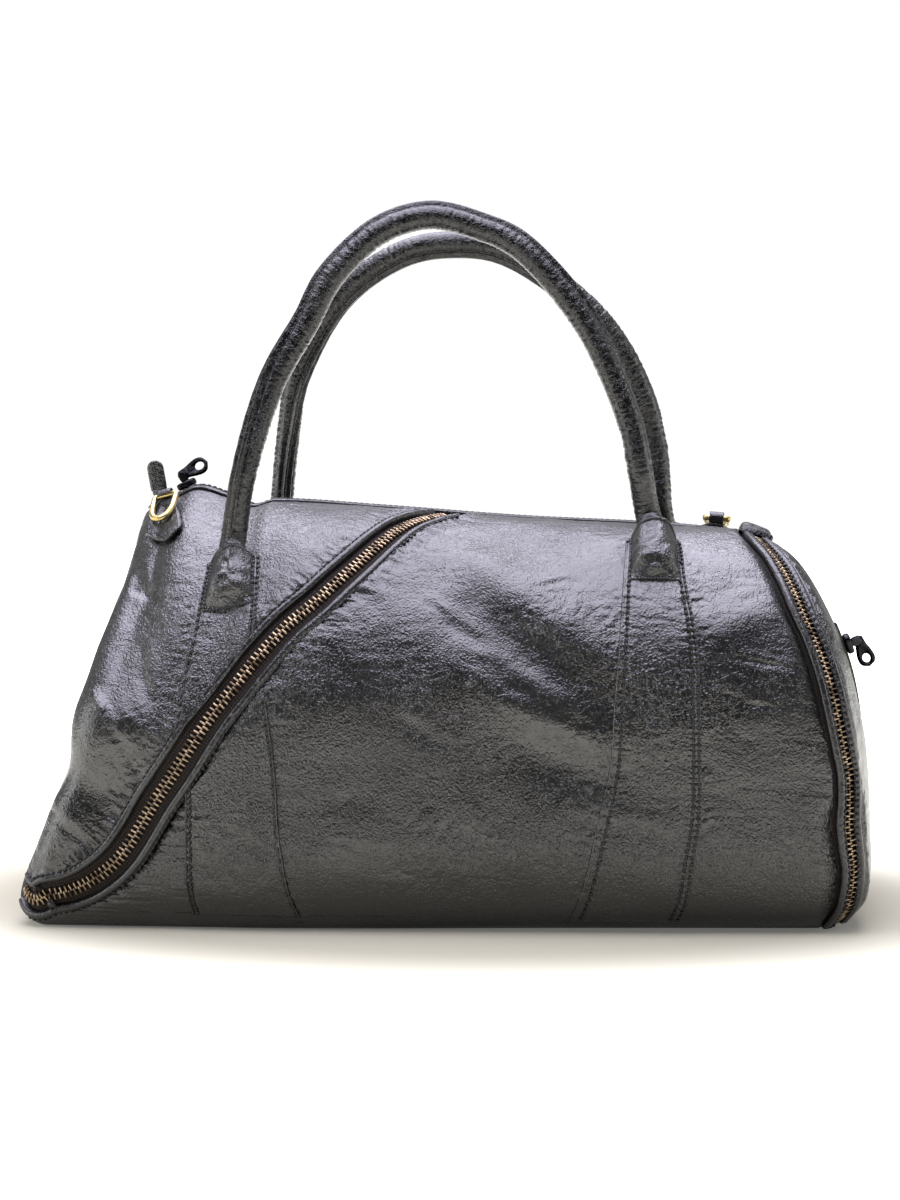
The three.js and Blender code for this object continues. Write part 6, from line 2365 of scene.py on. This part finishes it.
@dataclass
class Studio:
    """A plain pale floor, soft light and the camera at the photograph's angle."""

    distance: float = 1.3
    azimuth: float = math.radians(4.5)
    height: float = 0.256
    focal_pixels: float = 1300 / 0.594
    horizon: float = 468
    frame_height: float = 1200
    sensor: float = 36
    floor_reach: float = 6
    painted_glow_reach: tuple[float, float] = (0.15, 0.33)  # metres from the bag, over which the paper's painted glow rises
    # Painted glow of the paper: emission near the bag and far from it, low near the bag so that its
    # shadow shows.
    painted_glow_strength: tuple[float, float] = (0.12, 2.3)
    painted_glow_shape: tuple[float, float, float] = (0.62, 1, 1)

    def camera(self) -> None:
        """A level camera tipped down so that the horizon lies above the frame's middle."""
        data = bpy.data.cameras.new("camera")
        data.sensor_width = self.sensor
        data.lens = self.focal_pixels / self.frame_height * self.sensor
        camera = bpy.data.objects.new("camera", data)
        bpy.context.scene.collection.objects.link(camera)
        tip = math.atan((self.frame_height / 2 - self.horizon) / self.focal_pixels)
        aside, ahead = math.sin(self.azimuth), math.cos(self.azimuth)
        camera.location = (self.distance * aside, -self.distance * ahead, self.height)
        camera.rotation_euler = (math.pi / 2 - tip, 0, self.azimuth)
        bpy.context.scene.camera = camera

    def floor(self) -> None:
        """A wide sheet of matt paper with a painted glow: it emits little near the bag and more
        away from it.
        """
        mesh = bpy.data.meshes.new("floor")
        far = self.floor_reach
        corners = [(-far, -far, 0), (far, -far, 0), (far, far, 0), (-far, far, 0)]
        mesh.from_pydata(corners, [], [(0, 1, 2, 3)])
        floor = bpy.data.objects.new("floor", mesh)
        bpy.context.scene.collection.objects.link(floor)
        net = Nodes(bpy.data.materials.new("matt_paper"))
        place = net.add("TexCoord")["Object"]
        drawn_in = net.add("VectorMath", {0: place, 1: self.painted_glow_shape}, operation="MULTIPLY")[0]
        away = net.add("VectorMath", {0: drawn_in}, operation="LENGTH")["Value"]
        # Painted glow: emission rises with the distance from the bag.
        painted_glow = net.add(
            "MapRange",
            {
                "Value": away, "From Min": self.painted_glow_reach[0], "From Max": self.painted_glow_reach[1],
                "To Min": self.painted_glow_strength[0], "To Max": self.painted_glow_strength[1]
            },
            interpolation_type="SMOOTHSTEP"
        )
        parts = net.add("SeparateXYZ", {0: place})
        # For all rays but the camera's, the painted glow fades out on the floor in front of the
        # bag, so it does not light the bag from that side.
        front = net.add(
            "MapRange", {"Value": parts["Y"], "From Min": -1.15, "From Max": -0.65, "To Min": 0.05},
            interpolation_type="SMOOTHSTEP"
        )
        seen = net.add("LightPath")["Is Camera Ray"]
        front = net.add("Math", {0: front["Result"], 1: seen}, operation="MAXIMUM")[0]
        painted_glow = net.add("Math", {0: painted_glow["Result"], 1: front}, operation="MULTIPLY")
        # The emission is the painted glow; the base colour is the paper's own.
        shader = net.add("BsdfPrincipled", {
            "Base Color": linear("#8f8c7a"), "Roughness": 0.9, "Specular IOR Level": 0.1,
            "Emission Color": linear("#fffefa"), "Emission Strength": painted_glow[0]})
        net.add("OutputMaterial", {"Surface": shader[0]})
        mesh.materials.append(net.owner)

    def lights(self) -> None:
        """An overhead softbox, two windows and a pale surround, darker in front."""
        for lamp in LAMPS:
            lamp.light()
        world = bpy.data.worlds.new("surround")
        bpy.context.scene.world = world
        net = Nodes(world)
        way = net.add("TexCoord")["Generated"]
        parts = net.add("SeparateXYZ", {0: way})
        behind = net.add(
            "MapRange",
            {"Value": parts["Y"], "From Min": -0.7, "From Max": 0.4, "To Min": 0.03, "To Max": 0.5}
        )["Result"]
        seen = net.add("LightPath")["Is Camera Ray"]
        strength = net.add("Mix", {"Factor": seen, "A": behind, "B": 1.05})["Result"]
        sky = net.add("Background", {"Color": (1, 1, 1, 1), "Strength": strength})
        net.add("OutputWorld", {"Surface": sky[0]})

    def build(self) -> None:
        """Sets the stage."""
        self.camera()
        self.floor()
        self.lights()
        bpy.context.scene.view_settings.view_transform = "Standard"


def main() -> None:
    """Builds the scene in order."""
    logging.basicConfig(level=logging.INFO, format="%(message)s")
    shop = Workshop()
    layout = Layout(shop.skin)
    Studio().build()
    body = Body(shop, layout)
    body.build()
    Zips(shop, layout).build()
    Bands(shop, body.wrinkles, body.band_seams).build()
    Handles(shop).build()
    Fittings(shop).build()


if __name__ == "__main__":
    main()
